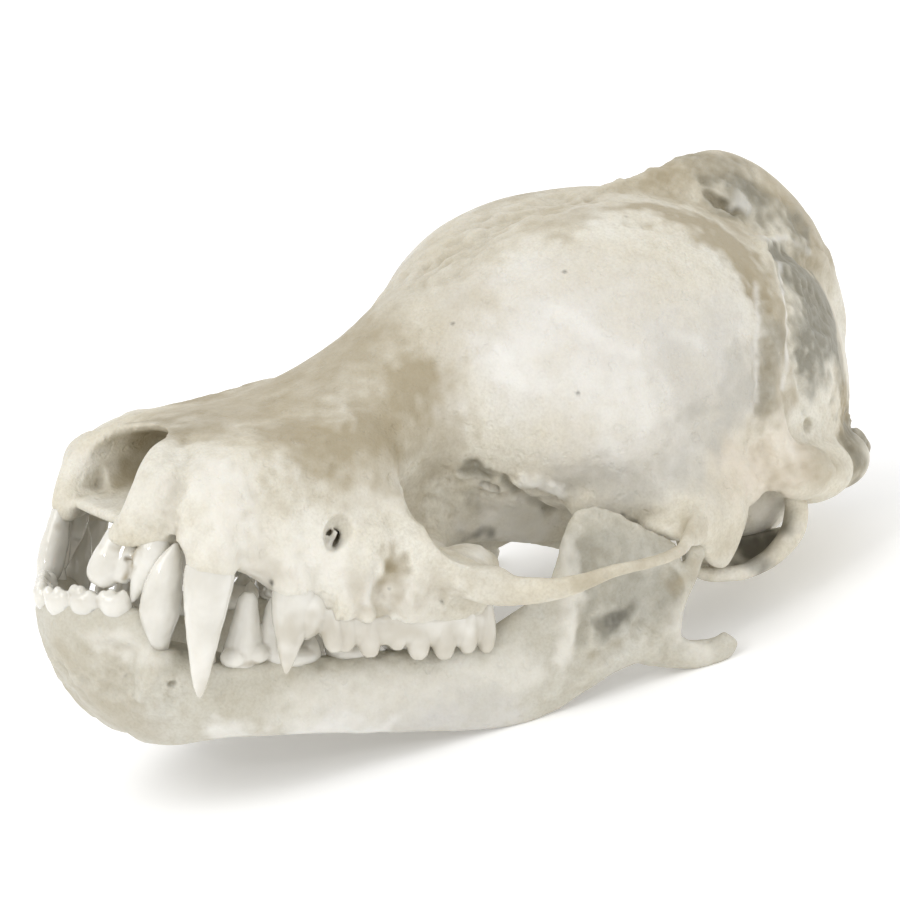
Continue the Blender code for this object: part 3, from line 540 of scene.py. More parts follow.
# Inner wall between the two eye sockets.
ORBIT_WALL = form(long_form, "orbit_wall", (
    (6.8, 0.0, 2.1, 5.3, 6.6, 4.2, 2.6),
    (7.8, 0.0, 1.78, 5.3, 6.8, 4.15, 2.8),
    (9.0, 0.0, 1.72, 5.2, 6.8, 4.1, 2.8),
    (10.2, 0.0, 2.05, 5.1, 6.6, 4.05, 2.8),
    (11.2, 0.0, 2.3, 5.0, 6.2, 4.0, 2.8),
), 30)
# Side of the inner nostril tube, below the wall of the eye socket.
PALATE_WALL = form(long_form, "palate_wall", (
    (8.3, 1.35, 0.45, 4.4, 5.0, 3.95, 2.2),
    (9.2, 1.3, 0.5, 4.35, 5.0, 3.75, 2.2),
    (10.2, 1.32, 0.5, 4.35, 5.0, 3.72, 2.2),
    (11.3, 1.45, 0.52, 4.35, 5.0, 3.56, 2.2),
    (12.6, 1.65, 0.45, 4.3, 4.9, 3.62, 2.2),
), 30)
print("nose and palate ready")

# %% [markdown]
# The cheek arch starts as a stout foot, thins to a rod and ends as a blade over the jaw joint.

# %% Arch, eye socket rim and jaw joint
ARCH_FOOT = (
    form(sweep, "zygomatic_root", (
        (3.3, 6.2, 4.6, 0.6, 0.6),
        (3.85, 7.0, 4.1, 0.6, 0.58),
        (4.4, 7.8, 3.8, 0.52, 0.48),
        (5.05, 8.6, 3.66, 0.34, 0.4),
    )),
    form(sweep, "orbit_rim", (
        (1.8, 6.8, 7.2, 0.3, 0.34),
        (2.4, 6.55, 6.4, 0.5, 0.5),
        (2.85, 6.42, 5.5, 0.56, 0.56),
        (3.55, 6.58, 4.8, 0.5, 0.5),
        (4.15, 7.15, 4.25, 0.48, 0.48),
    ), flat=ALONG),
)
ARCH_BAR = form(sweep, "zygomatic_bar", (
    (4.3, 7.6, 3.8, 0.5, 0.48),
    (5.0, 8.4, 3.58, 0.31, 0.4),
    (5.75, 9.1, 3.66, 0.2, 0.29),
    (6.1, 9.7, 3.82, 0.17, 0.23),
    (6.3, 10.4, 4.04, 0.15, 0.17),
    (6.34, 11.4, 4.14, 0.15, 0.15),
    (6.15, 12.3, 4.28, 0.15, 0.16),
    (5.9, 12.6, 4.4, 0.16, 0.2),
    (5.5, 13.1, 4.48, 0.22, 0.38),
    (5.1, 13.6, 4.56, 0.28, 0.5),
    (4.75, 14.2, 4.62, 0.34, 0.74),
    (4.5, 14.8, 4.72, 0.34, 0.8),
), count=60)
# Shelf of the jaw joint and the thin plate that screens it behind.
JAW_SOCKET = (
    form(ball, "glenoid_shelf", (4.35, 13.42, 4.4), (0.9, 0.95, 0.37)),
    form(long_form, "postglenoid", (
        (12.9, 5.15, 0.2, 4.46, 4.66, 4.22, 2.2),
        (13.3, 5.0, 0.26, 4.5, 4.9, 4.06, 2.4),
        (13.6, 4.9, 0.28, 4.45, 5.0, 3.8, 2.4),
        (13.85, 4.8, 0.29, 4.4, 5.1, 3.55, 2.4),
        (14.1, 4.66, 0.28, 4.2, 5.2, 3.36, 2.4),
        (14.45, 4.56, 0.28, 4.2, 5.35, 3.24, 2.4),
        (14.8, 4.46, 0.27, 4.4, 5.45, 3.55, 2.4),
        (15.15, 4.37, 0.24, 4.8, 5.5, 4.2, 2.2),
    ), 30),
)
# Lower side wall of the braincase above the jaw joint.
SQUAMOSAL = (
    form(ball, "squamosal", (3.8, 14.0, 5.4), (0.95, 1.8, 1.15)),
    form(ball, "squamosal_skirt", (3.4, 13.1, 4.98), (0.88, 2.1, 1.13)),
    form(ball, "squamosal_foot", (4.12, 14.8, 5.1), (0.62, 1.05, 0.75)),
    form(ball, "squamosal_shelf", (3.96, 13.9, 4.95), (1.06, 1.5, 0.8)),
)
print("arch and jaw joint ready")

# %% [markdown]
# Behind the joint come the swelling of the inner ear, the ridge that runs down from the
# helmet, and the two knobs on which the skull turned on the neck.

# %% Ear region, base and back of the head
EAR_REGION = (
    form(ball, "cochlea", (2.55, 16.1, 4.15), (0.95, 1.35, 0.85), tilt=(0.0, 0.0, -15.0)),
    form(ball, "mastoid", (4.5, 16.6, 5.25), (0.5, 0.9, 0.7)),
    form(ball, "mastoid_swell", (3.6, 17.4, 5.05), (0.95, 1.2, 0.8)),
    form(ball, "exoccipital", (2.55, 18.8, 4.95), (0.9, 1.15, 0.75), tilt=(0.0, 0.0, 25.0)),
)
# Ridge from the helmet down the side to the mastoid.
LAMBDOID = form(sweep, "lambdoid", (
    (1.95, 16.9, 10.2, 0.24, 0.4),
    (2.7, 16.6, 9.8, 0.24, 0.38),
    (3.55, 16.15, 8.9, 0.22, 0.34),
    (4.15, 15.85, 7.5, 0.22, 0.32),
    (4.38, 15.95, 6.2, 0.26, 0.36),
    (4.5, 16.4, 5.4, 0.35, 0.45),
), count=40, flat=ALONG)
# Floor of the braincase between the orbits and the ears.
SKULL_BASE = form(long_form, "skull_base", (
    (8.9, 0.0, 0.9, 4.6, 5.2, 4.2, 2.6),
    (10.0, 0.0, 1.5, 4.6, 5.6, 4.05, 2.6),
    (11.5, 0.0, 2.1, 4.6, 5.8, 3.9, 2.6),
    (13.0, 0.0, 2.6, 4.6, 5.8, 3.76, 2.6),
    (14.4, 0.0, 2.6, 4.6, 5.8, 3.78, 2.6),
    (15.6, 0.0, 1.8, 4.6, 5.6, 3.85, 2.6),
    (17.5, 0.0, 1.4, 4.6, 5.6, 4.0, 2.6),
    (19.0, 0.0, 1.1, 4.8, 5.4, 4.3, 2.6),
), 30)
# Knob beside the spinal opening, on which the skull turned.
NECK_KNOB = form(ball, "condyle", (1.3, 20.2, 4.7), (0.44, 0.62, 0.7), tilt=(20.0, 0.0, 20.0))
# Thin upright plate beside the inner nostrils, hooked at its rear end.
PTERYGOID = form(sweep, "pterygoid", (
    (0.95, 8.8, 4.0, 0.2, 0.58),
    (1.0, 9.8, 3.92, 0.18, 0.58),
    (1.05, 10.4, 3.9, 0.18, 0.52),
    (1.12, 10.9, 3.98, 0.18, 0.4),
    (1.25, 11.6, 3.84, 0.18, 0.4),
    (1.4, 12.5, 3.56, 0.17, 0.38),
    (1.5, 13.1, 3.36, 0.15, 0.22),
))
print("ear region forms ready")

# %% [markdown]
# These forms are taken away: the nose, the mouth notch, the inner nostrils and the opening
# for the spinal cord in the middle, then the eye sockets and the nerve holes of the sides.

# %% Hollows of the cranium
MIDDLE_HOLLOWS = (
    form(long_form, "nose", (
        (-0.6, 0.0, 1.22, 6.0, 6.62, 5.38, 3.4),
        (0.9, 0.0, 1.22, 6.04, 6.66, 5.36, 3.2),
        (2.2, 0.0, 1.2, 6.14, 6.82, 5.46, 2.8),
        (3.6, 0.0, 1.05, 6.1, 6.7, 5.52, 2.6),
        (5.4, 0.0, 0.7, 6.0, 6.42, 5.58, 2.4),
    ), 30),
    form(ball, "nose_roof_notch", (0.0, 1.4, 6.74), (1.04, 1.22, 0.72)),
    form(long_form, "mouth_notch", (
        (-0.6, 0.0, 1.0, 4.6, 5.08, 3.9, 3.0),
        (0.9, 0.0, 1.04, 4.6, 5.06, 4.1, 3.0),
        (1.7, 0.0, 1.2, 4.66, 5.04, 4.3, 2.8),
        (2.5, 0.0, 1.25, 4.66, 5.0, 4.36, 2.6),
        (3.2, 0.0, 0.8, 4.64, 4.88, 4.42, 2.4),
    ), 24),
    form(sweep, "inner_nostrils", (
        (0.0, 8.6, 4.25, 0.45, 0.2),
        (0.0, 9.6, 4.0, 0.72, 0.4),
        (0.0, 10.8, 3.75, 0.8, 0.42),
        (0.0, 12.2, 3.3, 0.85, 0.4),
    ), count=20),
    form(sweep, "great_foramen", (
        (0.0, 17.6, 5.5, 0.9, 0.9),
        (0.0, 18.9, 5.35, 1.05, 1.0),
        (0.0, 20.0, 5.2, 1.12, 1.02),
        (0.0, 21.4, 4.95, 1.25, 1.05),
        (0.0, 22.4, 4.75, 1.3, 1.1),
    ), count=20),
)
SIDE_HOLLOWS = (
    form(sweep, "orbit", (
        (3.9, 6.7, 5.3, 0.25, 0.3),
        (3.75, 7.3, 5.6, 0.84, 1.0),
        (3.55, 8.3, 5.8, 0.98, 1.35),
        (4.3, 9.3, 5.6, 0.6, 1.0),
    ), count=20),
    form(ball, "orbit_floor", (4.55, 8.15, 5.05), (1.45, 1.28, 0.98)),
    form(ball, "canine_notch", (2.44, 1.6, 4.82), (0.28, 0.42, 0.3)),
    form(ball, "gum_pit", (3.36, 2.86, 4.06), (0.22, 0.14, 0.1)),
    form(ball, "gum_pit", (3.46, 3.4, 4.02), (0.2, 0.1, 0.13)),
    form(ball, "infraorbital_pit", (3.9, 4.88, 5.1), (0.4, 0.34, 0.46), tilt=(-38.0, 0.0, 0.0)),
    form(sweep, "infraorbital", (
        (4.2, 4.55, 4.8, 0.17, 0.2),
        (3.5, 4.88, 4.84, 0.17, 0.2),
        (2.9, 5.6, 5.0, 0.2, 0.22),
        (2.7, 6.6, 5.05, 0.22, 0.24),
        (2.9, 7.6, 5.1, 0.24, 0.26),
    ), count=24),
    form(ball, "side_hole", (4.15, 17.15, 6.2), (0.4, 0.2, 0.24), tilt=(30.0, 0.0, 0.0)),
)
# Two slivers of bone across the opening in front of the eye.
NERVE_BARS = (
    form(sweep, "nerve_bar", ((3.66, 4.66, 4.62, 0.07, 0.07), (3.62, 4.92, 5.06, 0.07, 0.07)), count=8),
    form(sweep, "nerve_bar", ((3.62, 4.92, 4.56, 0.06, 0.06), (3.56, 5.14, 4.96, 0.06, 0.06)), count=8),
)
print("hollows:", len(MIDDLE_HOLLOWS), "in the middle,", len(SIDE_HOLLOWS), "a side")

# %% [markdown]
# The vault and the thin plates need cubes of different size, so they are melted apart and
# then joined. Last the nerve bars go in, which the cut would have taken away.

# %% Cranium in one skin
def cranium_skin():
    """Vault and plates melted apart, joined, cut by the hollows and softened."""
    vault = both_sides((CORE, CREST, PALATE, SKULL_BASE, ORBIT_WALL),
                       (MAXILLA, CHEEK, PALATE_WALL, *SQUAMOSAL, *EAR_REGION, *ARCH_FOOT))
    plates = both_sides((NOSE_FLOOR,), (LAMBDOID, ARCH_BAR, NECK_KNOB, PTERYGOID, REAR_MAXILLA,
                                        *PREMAXILLA, *JAW_SOCKET, *TOOTH_ROOTS))
    hollows = both_sides(MIDDLE_HOLLOWS, SIDE_HOLLOWS)
    body = gather("cranium", [melted("vault", vault, VAULT_VOXEL, VAULT_ROUNDS),
                              melted("plates", plates, PLATE_VOXEL, PLATE_ROUNDS)])
    body = cut(remesh(body, SKIN_VOXEL), melted("hollows", hollows, PLATE_VOXEL, HOLLOW_ROUNDS))
    body = gather("cranium", [body] + both_sides((), NERVE_BARS))
    return soften(remesh(body, SKIN_VOXEL), SKIN_ROUNDS)


cranium = cranium_skin()
print("cranium skin:", len(cranium.data.polygons), "faces")

# %% [markdown]
# ## The lower jaw
#
# Each half is a slender body that curves in to the chin and rises behind into a thin blade,
# with a joint head, a hooked rear corner and a shallow hollow for the chewing muscle.

# %% Lower jaw forms
# Body and rising branch: y, inner face, outer face, waist, top, bottom and squareness.
JAW_ROWS = (
    (-0.42, -0.1, 0.45, 2.8, 2.95, 2.5, 1.8),
    (-0.22, -0.1, 0.74, 2.65, 2.95, 2.1, 1.5),
    (0.05, -0.1, 1.1, 2.55, 2.9, 1.55, 1.4),
    (0.5, -0.1, 1.58, 2.4, 2.8, 0.92, 1.35),
    (0.95, -0.1, 2.08, 2.25, 2.72, 0.44, 1.35),
    (1.4, -0.1, 2.5, 2.1, 2.62, 0.12, 1.4),
    (1.85, 0.15, 2.78, 1.85, 2.5, 0.08, 1.6),
    (2.4, 0.5, 2.96, 1.55, 2.36, 0.2, 2.0),
    (3.0, 1.4, 3.08, 1.35, 2.2, 0.34, 2.3),
    (4.0, 2.15, 3.22, 1.2, 2.08, 0.34, 2.5),
    (5.5, 2.5, 3.5, 1.15, 2.05, 0.26, 2.5),
    (7.0, 2.85, 3.85, 1.1, 2.1, 0.16, 2.5),
    (8.5, 3.25, 4.2, 1.1, 2.24, 0.08, 2.5),
    (9.0, 3.44, 4.3, 1.15, 2.56, 0.1, 2.5),
    (9.5, 3.66, 4.42, 1.3, 2.9, 0.16, 2.6),
    (10.0, 3.92, 4.55, 1.6, 3.3, 0.36, 2.6),
    (10.3, 4.08, 4.66, 2.6, 4.3, 0.48, 2.6),
    (10.5, 4.16, 4.74, 2.9, 5.0, 0.64, 2.6),
    (10.95, 4.28, 4.84, 3.0, 5.14, 0.9, 2.6),
    (11.6, 4.42, 4.95, 3.0, 4.88, 1.24, 2.6),
    (12.4, 4.6, 5.12, 2.95, 4.42, 1.46, 2.6),
    (12.8, 4.7, 5.18, 2.9, 4.22, 1.5, 2.6),
    (13.0, 4.74, 5.16, 2.9, 4.0, 1.8, 2.6),
)
JAW_BODY = form(long_form, "jaw_body", [
    (y, (inner + outer) / 2, (outer - inner) / 2, *rest) for y, inner, outer, *rest in JAW_ROWS], 110)
# Rounded front of the jaw, where the halves have grown together.
CHIN = form(long_form, "chin", (
    (-0.38, 0.0, 0.4, 2.75, 2.95, 2.45, 2.2),
    (-0.1, 0.0, 0.92, 2.55, 2.9, 1.86, 2.2),
    (0.3, 0.0, 1.3, 2.3, 2.8, 1.16, 2.2),
    (0.8, 0.0, 1.62, 2.05, 2.7, 0.56, 2.2),
    (1.3, 0.0, 1.8, 1.8, 2.5, 0.16, 2.2),
    (1.75, 0.0, 1.6, 1.6, 2.2, 0.16, 2.2),
    (2.05, 0.0, 0.9, 1.4, 1.8, 0.6, 2.2),
), 24)
JAW_HEAD = form(sweep, "jaw_condyle", (
    (4.45, 13.44, 3.84, 0.2, 0.2),
    (4.7, 13.46, 3.86, 0.24, 0.24),
    (4.95, 13.46, 3.84, 0.24, 0.24),
    (5.16, 13.44, 3.8, 0.16, 0.18),
))
# Slanting rear edge of the rising branch below the joint head.
JAW_NECK = form(sweep, "jaw_neck", (
    (4.98, 12.8, 2.5, 0.16, 0.3),
    (5.0, 13.0, 3.0, 0.18, 0.3),
    (5.0, 13.25, 3.4, 0.2, 0.26),
    (4.98, 13.42, 3.76, 0.2, 0.2),
), flat=ALONG)
# Hooked angular process at the rear lower corner.
JAW_ANGLE = form(sweep, "jaw_angle", (
    (4.8, 12.2, 1.72, 0.26, 0.4),
    (4.98, 12.9, 1.58, 0.28, 0.38),
    (5.12, 13.5, 1.5, 0.3, 0.34),
    (5.22, 14.0, 1.58, 0.29, 0.31),
    (5.26, 14.25, 1.86, 0.22, 0.24),
))
# Bone that stands up round the roots of the incisors, canine and premolars.
TOOTH_SOCKETS = (
    form(sweep, "incisor_socket", (
        (-0.2, -0.2, 2.96, 0.26, 0.5),
        (0.4, -0.14, 3.0, 0.28, 0.5),
        (0.9, 0.14, 3.04, 0.3, 0.48),
        (1.34, 0.5, 3.06, 0.3, 0.46),
        (1.74, 0.88, 3.0, 0.3, 0.44),
        (1.96, 1.25, 2.6, 0.28, 0.36),
    )),
    form(sweep, "canine_socket", (
        (1.76, 1.5, 0.9, 0.16, 0.2),
        (1.92, 1.4, 1.4, 0.38, 0.44),
        (2.04, 1.32, 1.9, 0.46, 0.54),
        (2.06, 1.34, 2.26, 0.42, 0.5),
        (2.06, 1.36, 2.5, 0.34, 0.42),
    ), flat=ALONG),
    form(sweep, "premolar_socket", (
        (2.6, 2.05, 1.95, 0.28, 0.26),
        (2.72, 3.0, 1.92, 0.34, 0.26),
        (2.84, 4.0, 1.95, 0.34, 0.26),
    )),
)
CHEWING_HOLLOW = form(ball, "masseter_hollow", (5.36, 11.75, 2.9), (0.5, 1.35, 1.15),
                      tilt=(0.0, 0.0, 12.0))
print("jaw stations:", len(JAW_ROWS))


# %% Lower jaw in one skin
def jaw_skin():
    """Both halves as one skin, since they have grown together at the chin."""
    forms = both_sides((CHIN,), (JAW_BODY, JAW_HEAD, JAW_NECK, JAW_ANGLE, *TOOTH_SOCKETS))
    hollows = gather("masseter_hollows", both_sides((), (CHEWING_HOLLOW,)))
    skin = cut(melted("jaw_skin", forms, PLATE_VOXEL, JAW_ROUNDS), hollows)
    return soften(remesh(skin, SKIN_VOXEL), SKIN_ROUNDS)


jaw = jaw_skin()
print("jaw skin:", len(jaw.data.polygons), "faces")

# %% [markdown]
# ## The ear ring
#
# A bat's eardrum is held by a thin open ring of bone beside the swelling of the inner ear.
# It is a swept arc that carries a thin cup on its inner side.

# %% Ear ring
RING = form(sweep, "ring", (
    (3.95, 13.86, 4.0, 0.1, 0.1),
    (4.02, 13.84, 3.5, 0.13, 0.13),
    (4.12, 14.05, 3.16, 0.15, 0.15),
    (4.18, 14.5, 3.02, 0.17, 0.16),
    (4.2, 15.1, 3.0, 0.19, 0.18),
    (4.16, 15.8, 3.14, 0.22, 0.21),
    (4.08, 16.4, 3.44, 0.26, 0.25),
    (4.0, 16.8, 3.88, 0.29, 0.29),
    (3.95, 16.88, 4.3, 0.28, 0.28),
    (3.9, 16.74, 4.62, 0.18, 0.18),
), count=70, flat=ACROSS)
CUP = form(ball, "cup", (3.62, 15.35, 3.9), (0.82, 1.5, 1.06))
CUP_HOLLOW = form(ball, "cup_hollow", (3.98, 15.35, 4.02), (0.94, 1.26, 0.98))
CUP_ABOVE = form(ball, "cup_above", (3.0, 15.6, 5.4), (2.4, 2.8, 1.85))


def ear_ring(side, word):
    """The ring of one side with its cup, opened outwards and cut off above."""
    cup = cut(remesh(CUP(side), PLATE_VOXEL), remesh(CUP_HOLLOW(side), PLATE_VOXEL))
    return melted("ear_ring_skin_" + word, [cut(cup, CUP_ABOVE(side)), RING(side)], SKIN_VOXEL,
                  RING_ROUNDS)


rings = {word: ear_ring(side, word) for side, word in SIDE_WORDS}
print("ear ring skin:", len(rings["left"].data.polygons), "faces")

# %% [markdown]
# ## Teeth
#
# The enamel is a piece of its own over the roots of the bone, so that it can shine while the
# bone stays dull. Every tooth or cusp is a short tapered rod with its own profile: fangs are
# drawn out, incisors are blunt and molars are a row of cusps on a low wall.

# %% Tooth profiles
TOOTH_VOXEL, TOOTH_ROUNDS = 0.035, 4
SHARES = (0.0, 0.25, 0.5, 0.75, 0.92, 1.0)
CUSP = (0.72, 1.0, 0.88, 0.54, 0.27, 0.09)
FANG = (0.72, 0.98, 0.78, 0.5, 0.28, 0.1)
BLUNT = (0.72, 0.86, 1.0, 1.0, 0.82, 0.5)
PEG = (0.55, 0.8, 1.0, 1.0, 0.86, 0.55)
LOBE = (0.8, 0.95, 1.0, 0.9, 0.66, 0.36)
LEAF = (0.3, 0.55, 0.9, 0.74, 0.38, 0.1)
BLADE = (0.8, 1.0, 0.92, 0.74, 0.5, 0.26)
BELL = (0.8, 1.0, 0.8, 0.62, 0.5, 0.26)


def cone(name, side, base, tip, half_width, half_length, taper=CUSP, lean=0.0, flat=ALONG):
    """One pointed tooth or cusp, from its sunk base to its tip; its length lies along flat."""
    base, tip = np.array(base), np.array(tip)
    rows = []
    for share, size in zip(SHARES, taper):
        x, y, z = base + (tip - base) * share
        rows.append((x, y + lean * sin(pi * share), z, half_width * size, half_length * size))
    return sweep(name, rows, side, count=36, sides=20, flat=flat)


print("tooth voxel", TOOTH_VOXEL, "mm")

# %% [markdown]
# The upper teeth overlap the lower ones, as the mouth is shut. Only the inner incisor of
# the far side is out of line, as in the photograph.

# %% Upper teeth
INCISOR_ARC = (0.66, 0.75, 0.0)
# How much further out, forward and down the far inner incisor stands.
FAR_INCISOR = (0.24, 0.1, 0.45)
# Place along the row, outer face, tip and half length of each cusp on the cheek side.
OUTER_LOBES = ((5.06, 3.9, 2.34, 0.28), (5.63, 3.98, 2.16, 0.3), (6.3, 4.02, 2.24, 0.28),
               (6.8, 4.1, 1.98, 0.3), (7.42, 4.16, 1.92, 0.3), (8.0, 4.2, 2.0, 0.27),
               (8.48, 4.2, 1.94, 0.24))
# Middle along the row, half length, outer face and size of each molar.
MOLARS = ((5.45, 0.66, 3.96, 1.0), (6.75, 0.64, 4.1, 1.0), (7.95, 0.48, 4.15, 0.8))


def upper_teeth(side):
    """Two incisors, the canine, one premolar and three molars of one side."""
    out, fore, drop = (0.0, 0.0, 0.0) if side == 1 else FAR_INCISOR
    teeth = [
        cone("incisor_inner", side, (1.24 + out, 0.84 - fore, 5.0),
             (1.1 + out, 0.36 - fore, 3.84 - drop), 0.3, 0.4, BLUNT, flat=INCISOR_ARC),
        cone("incisor_inner_lobe", side, (1.42 + out, 0.98 - fore, 4.9),
             (1.4 + out, 0.72 - fore, 3.92 - drop), 0.24, 0.26, BLUNT),
        cone("incisor_outer", side, (1.98, 1.46, 5.05), (1.72, 0.84, 3.52), 0.28, 0.36,
             flat=INCISOR_ARC),
        cone("incisor_outer_heel", side, (1.92, 1.36, 4.85), (1.66, 1.02, 4.25), 0.24, 0.3, BLUNT),
        cone("canine", side, (3.02, 2.24, 5.1), (3.2, 1.74, 1.6), 0.46, 0.6, FANG, -0.06),
        cone("premolar_blade", side, (3.36, 4.06, 4.3), (3.62, 3.66, 1.98), 0.38, 0.5),
        ball("premolar_crown", (3.4, 4.22, 3.25), (0.44, 0.56, 0.6), side),
        cone("premolar_heel", side, (3.58, 4.72, 3.3), (3.82, 4.8, 2.36), 0.26, 0.26, LOBE),
        cone("premolar_inner", side, (2.85, 4.3, 3.8), (2.55, 4.2, 2.8), 0.38, 0.4),
        long_form("molar_wall", [
            (4.6, 3.5, 0.28, 2.9, 3.3, 2.64, 2.2),
            (5.3, 3.58, 0.42, 2.8, 3.3, 2.44, 2.6),
            (6.5, 3.7, 0.45, 2.7, 3.2, 2.3, 2.6),
            (7.6, 3.8, 0.44, 2.6, 3.1, 2.14, 2.6),
            (8.4, 3.86, 0.38, 2.55, 3.05, 2.1, 2.6),
            (8.72, 3.88, 0.2, 2.55, 2.9, 2.3, 2.2),
        ], 40, side=side),
    ]
    for y, outer, tip, half in OUTER_LOBES:
        teeth.append(cone("outer_lobe", side, (outer - 0.24, y, tip + 1.15), (outer - 0.1, y, tip),
                          0.27, half, LOBE))
    for middle, half_length, outer, size in MOLARS:
        teeth.append(ball("molar_body", (outer - 0.8, middle, 3.02), (0.76, half_length, 0.5), side))
        for step in (-0.42, 0.42):
            y = middle + step * size
            teeth.append(cone("main_cusp", side, (outer - 0.75, y, 3.1), (outer - 0.66, y, 2.36),
                              0.26, 0.28 * size))
        teeth.append(cone("inner_cusp", side, (outer - 1.3, middle, 3.3), (outer - 1.55, middle, 2.6),
                          0.32, 0.36))
    return teeth


upper_enamel = melted("upper_teeth", upper_teeth(1) + upper_teeth(-1), TOOTH_VOXEL, TOOTH_ROUNDS)
print("upper teeth:", len(upper_enamel.data.polygons), "faces")

# %% [markdown]
# Each lower incisor ends in three lobes, and small random steps keep the lobes of a row from
# looking alike. The lower teeth are one piece a side.

# %% Lower teeth
# Position and run of the jaw at each lower incisor, then the steps of its three lobes.
LOWER_INCISORS = ((0.36, -0.3, 3.48, (0.9, 0.44, 0.0)), (0.95, 0.04, 3.54, (0.8, 0.6, 0.0)),
                  (1.5, 0.5, 3.56, (0.66, 0.75, 0.0)))
LOBE_STEPS = (-0.21, 0.0, 0.21)
LOBE_SEED = 5
# Middle along the row and half length of each lower molar; the row widens to the rear.
LOWER_MOLARS = ((4.35, 0.68), (5.75, 0.68), (7.1, 0.62))
FIRST_MOLAR_X, FIRST_MOLAR_Y, ROW_WIDENING = 2.62, 4.35, 0.1


def lower_teeth(side, word):
    """Three incisors, the canine, two premolars and three molars of one side."""
    chance = np.random.default_rng(LOBE_SEED + side)
    teeth = []
    for x, y, z, arc in LOWER_INCISORS:
        teeth.append(cone("lower_incisor", side, (x + 0.05, y + 0.15, z - 0.5), (x, y, z + 0.16),
                          0.25, 0.37, PEG, flat=arc))
        for step in LOBE_STEPS:
            dx, dy, dz, grow = chance.uniform(-0.05, 0.05, 4)
            centre = (x + step * arc[0] + dx, y + step * arc[1] + dy, z + 0.12 + dz)
            teeth.append(ball("incisor_lobe", centre, (0.12 + grow, 0.13, 0.15), side))
    teeth += [
        cone("lower_canine", side, (1.95, 1.42, 2.0), (2.42, 1.62, 4.92), 0.42, 0.54, LEAF, -0.2),
        cone("lower_premolar_small", side, (2.45, 2.25, 1.96), (2.52, 2.2, 2.95), 0.26, 0.28, BELL),
        cone("lower_premolar", side, (2.7, 3.04, 1.98), (2.84, 3.16, 3.72), 0.34, 0.46, BELL),
        ball("premolar_collar", (2.86, 2.76, 2.3), (0.26, 0.3, 0.24), side),
        ball("premolar_collar", (2.9, 3.34, 2.34), (0.26, 0.3, 0.24), side),
        # The first molar's front cusp is nearly as tall as the premolar before it.
        cone("lower_molar_front_cusp", side, (2.84, 3.84, 2.0), (2.9, 3.76, 3.55), 0.3, 0.34, BLADE),
    ]
    for middle, half_length in LOWER_MOLARS:
        x = FIRST_MOLAR_X + ROW_WIDENING * (middle - FIRST_MOLAR_Y)
        teeth.append(ball("lower_molar_body", (x + 0.1, middle, 2.1), (0.42, half_length, 0.3), side))
        for step in (-0.36, 0.34):
            y = middle + step
            teeth.append(cone("lower_cusp", side, (x + 0.2, y, 2.0), (x + 0.18, y, 2.66), 0.24, 0.26))
            teeth.append(cone("lower_inner_cusp", side, (x - 0.16, y, 2.0), (x - 0.18, y, 2.5), 0.18, 0.22))
    return melted("lower_teeth_" + word, teeth, TOOTH_VOXEL, TOOTH_ROUNDS)


lower_enamel = {word: lower_teeth(side, word) for side, word in SIDE_WORDS}
print("lower teeth:", len(lower_enamel["left"].data.polygons), "faces a side")

# %% [markdown]
# ## Materials
#
# A shader is a sum of simple fields. The small class below lets a node socket be written like
# a number, so that a mask reads as plain arithmetic.

# %% Shader arithmetic
class Field:
    """A number socket of a node tree that can be used in Python expressions."""

    def __init__(self, finish, socket):
        self.finish = finish
        self.socket = socket

    def maths(self, operation, first, second):
        return self.finish.node("ShaderNodeMath", {"operation": operation}, {0: first, 1: second})

    def __add__(self, other):
        return self.maths("ADD", self, other)

    __radd__ = __add__

    def __mul__(self, other):
        return self.maths("MULTIPLY", self, other)

    __rmul__ = __mul__

    def clamped(self):
        return self.finish.node("ShaderNodeClamp", {}, {"Value": self})


class Finish:
    """One material and the few ways in which its nodes are made."""

    def __init__(self, name):
        self.material = bpy.data.materials.new(name)
        self.material.use_nodes = True
        self.tree = self.material.node_tree
        self.surface = self.tree.nodes["Principled BSDF"]

    def put(self, socket, value):
        if isinstance(value, Field):
            self.tree.links.new(value.socket, socket)
        else:
            socket.default_value = value

    def node(self, kind, settings, values, output=0):
        made = self.tree.nodes.new(kind)
        for key, value in settings.items():
            if key == "stops":
                ramp = made.color_ramp
                while len(ramp.elements) < len(value):
                    ramp.elements.new(1.0)
                for element, (at, level) in zip(ramp.elements, value):
                    element.position = at
                    element.color = (level, level, level, 1.0)
            else:
                setattr(made, key, value)
        for key, value in values.items():
            self.put(made.inputs[key], value)
        return Field(self, made.outputs[output])

    def noise(self, size, detail, rough, warp=0.0):
        """Cloudy field from 0 to 1 with hills about `size` millimetres across."""
        where = self.node("ShaderNodeTexCoord", {}, {}, "Object")
        return self.node("ShaderNodeTexNoise", {}, {
            "Vector": where, "Scale": 1.0 / (size * MM), "Detail": detail, "Roughness": rough,
            "Distortion": warp}, "Fac")

    def ramp(self, value, stops):
        return self.node("ShaderNodeValToRGB", {"stops": stops}, {"Fac": value})

    def stain(self, name):
        return self.node("ShaderNodeAttribute", {"attribute_name": name}, {}, "Fac")

    def tint(self, mask, under, over):
        """Colour `over` laid on colour `under` where the mask is 1."""
        return self.node("ShaderNodeMix", {"data_type": "RGBA"}, {0: mask, 6: under, 7: over}, 2)

    def bump(self, height, strength, distance):
        return self.node("ShaderNodeBump", {}, {
            "Height": height, "Strength": strength, "Distance": distance * MM}, "Normal")

    def set(self, **constants):
        for name, value in constants.items():
            self.surface.inputs[name.replace("_", " ")].default_value = value

    def drive(self, **fields):
        for name, value in fields.items():
            self.put(self.surface.inputs[name.replace("_", " ")], value)


print("shader tools ready")
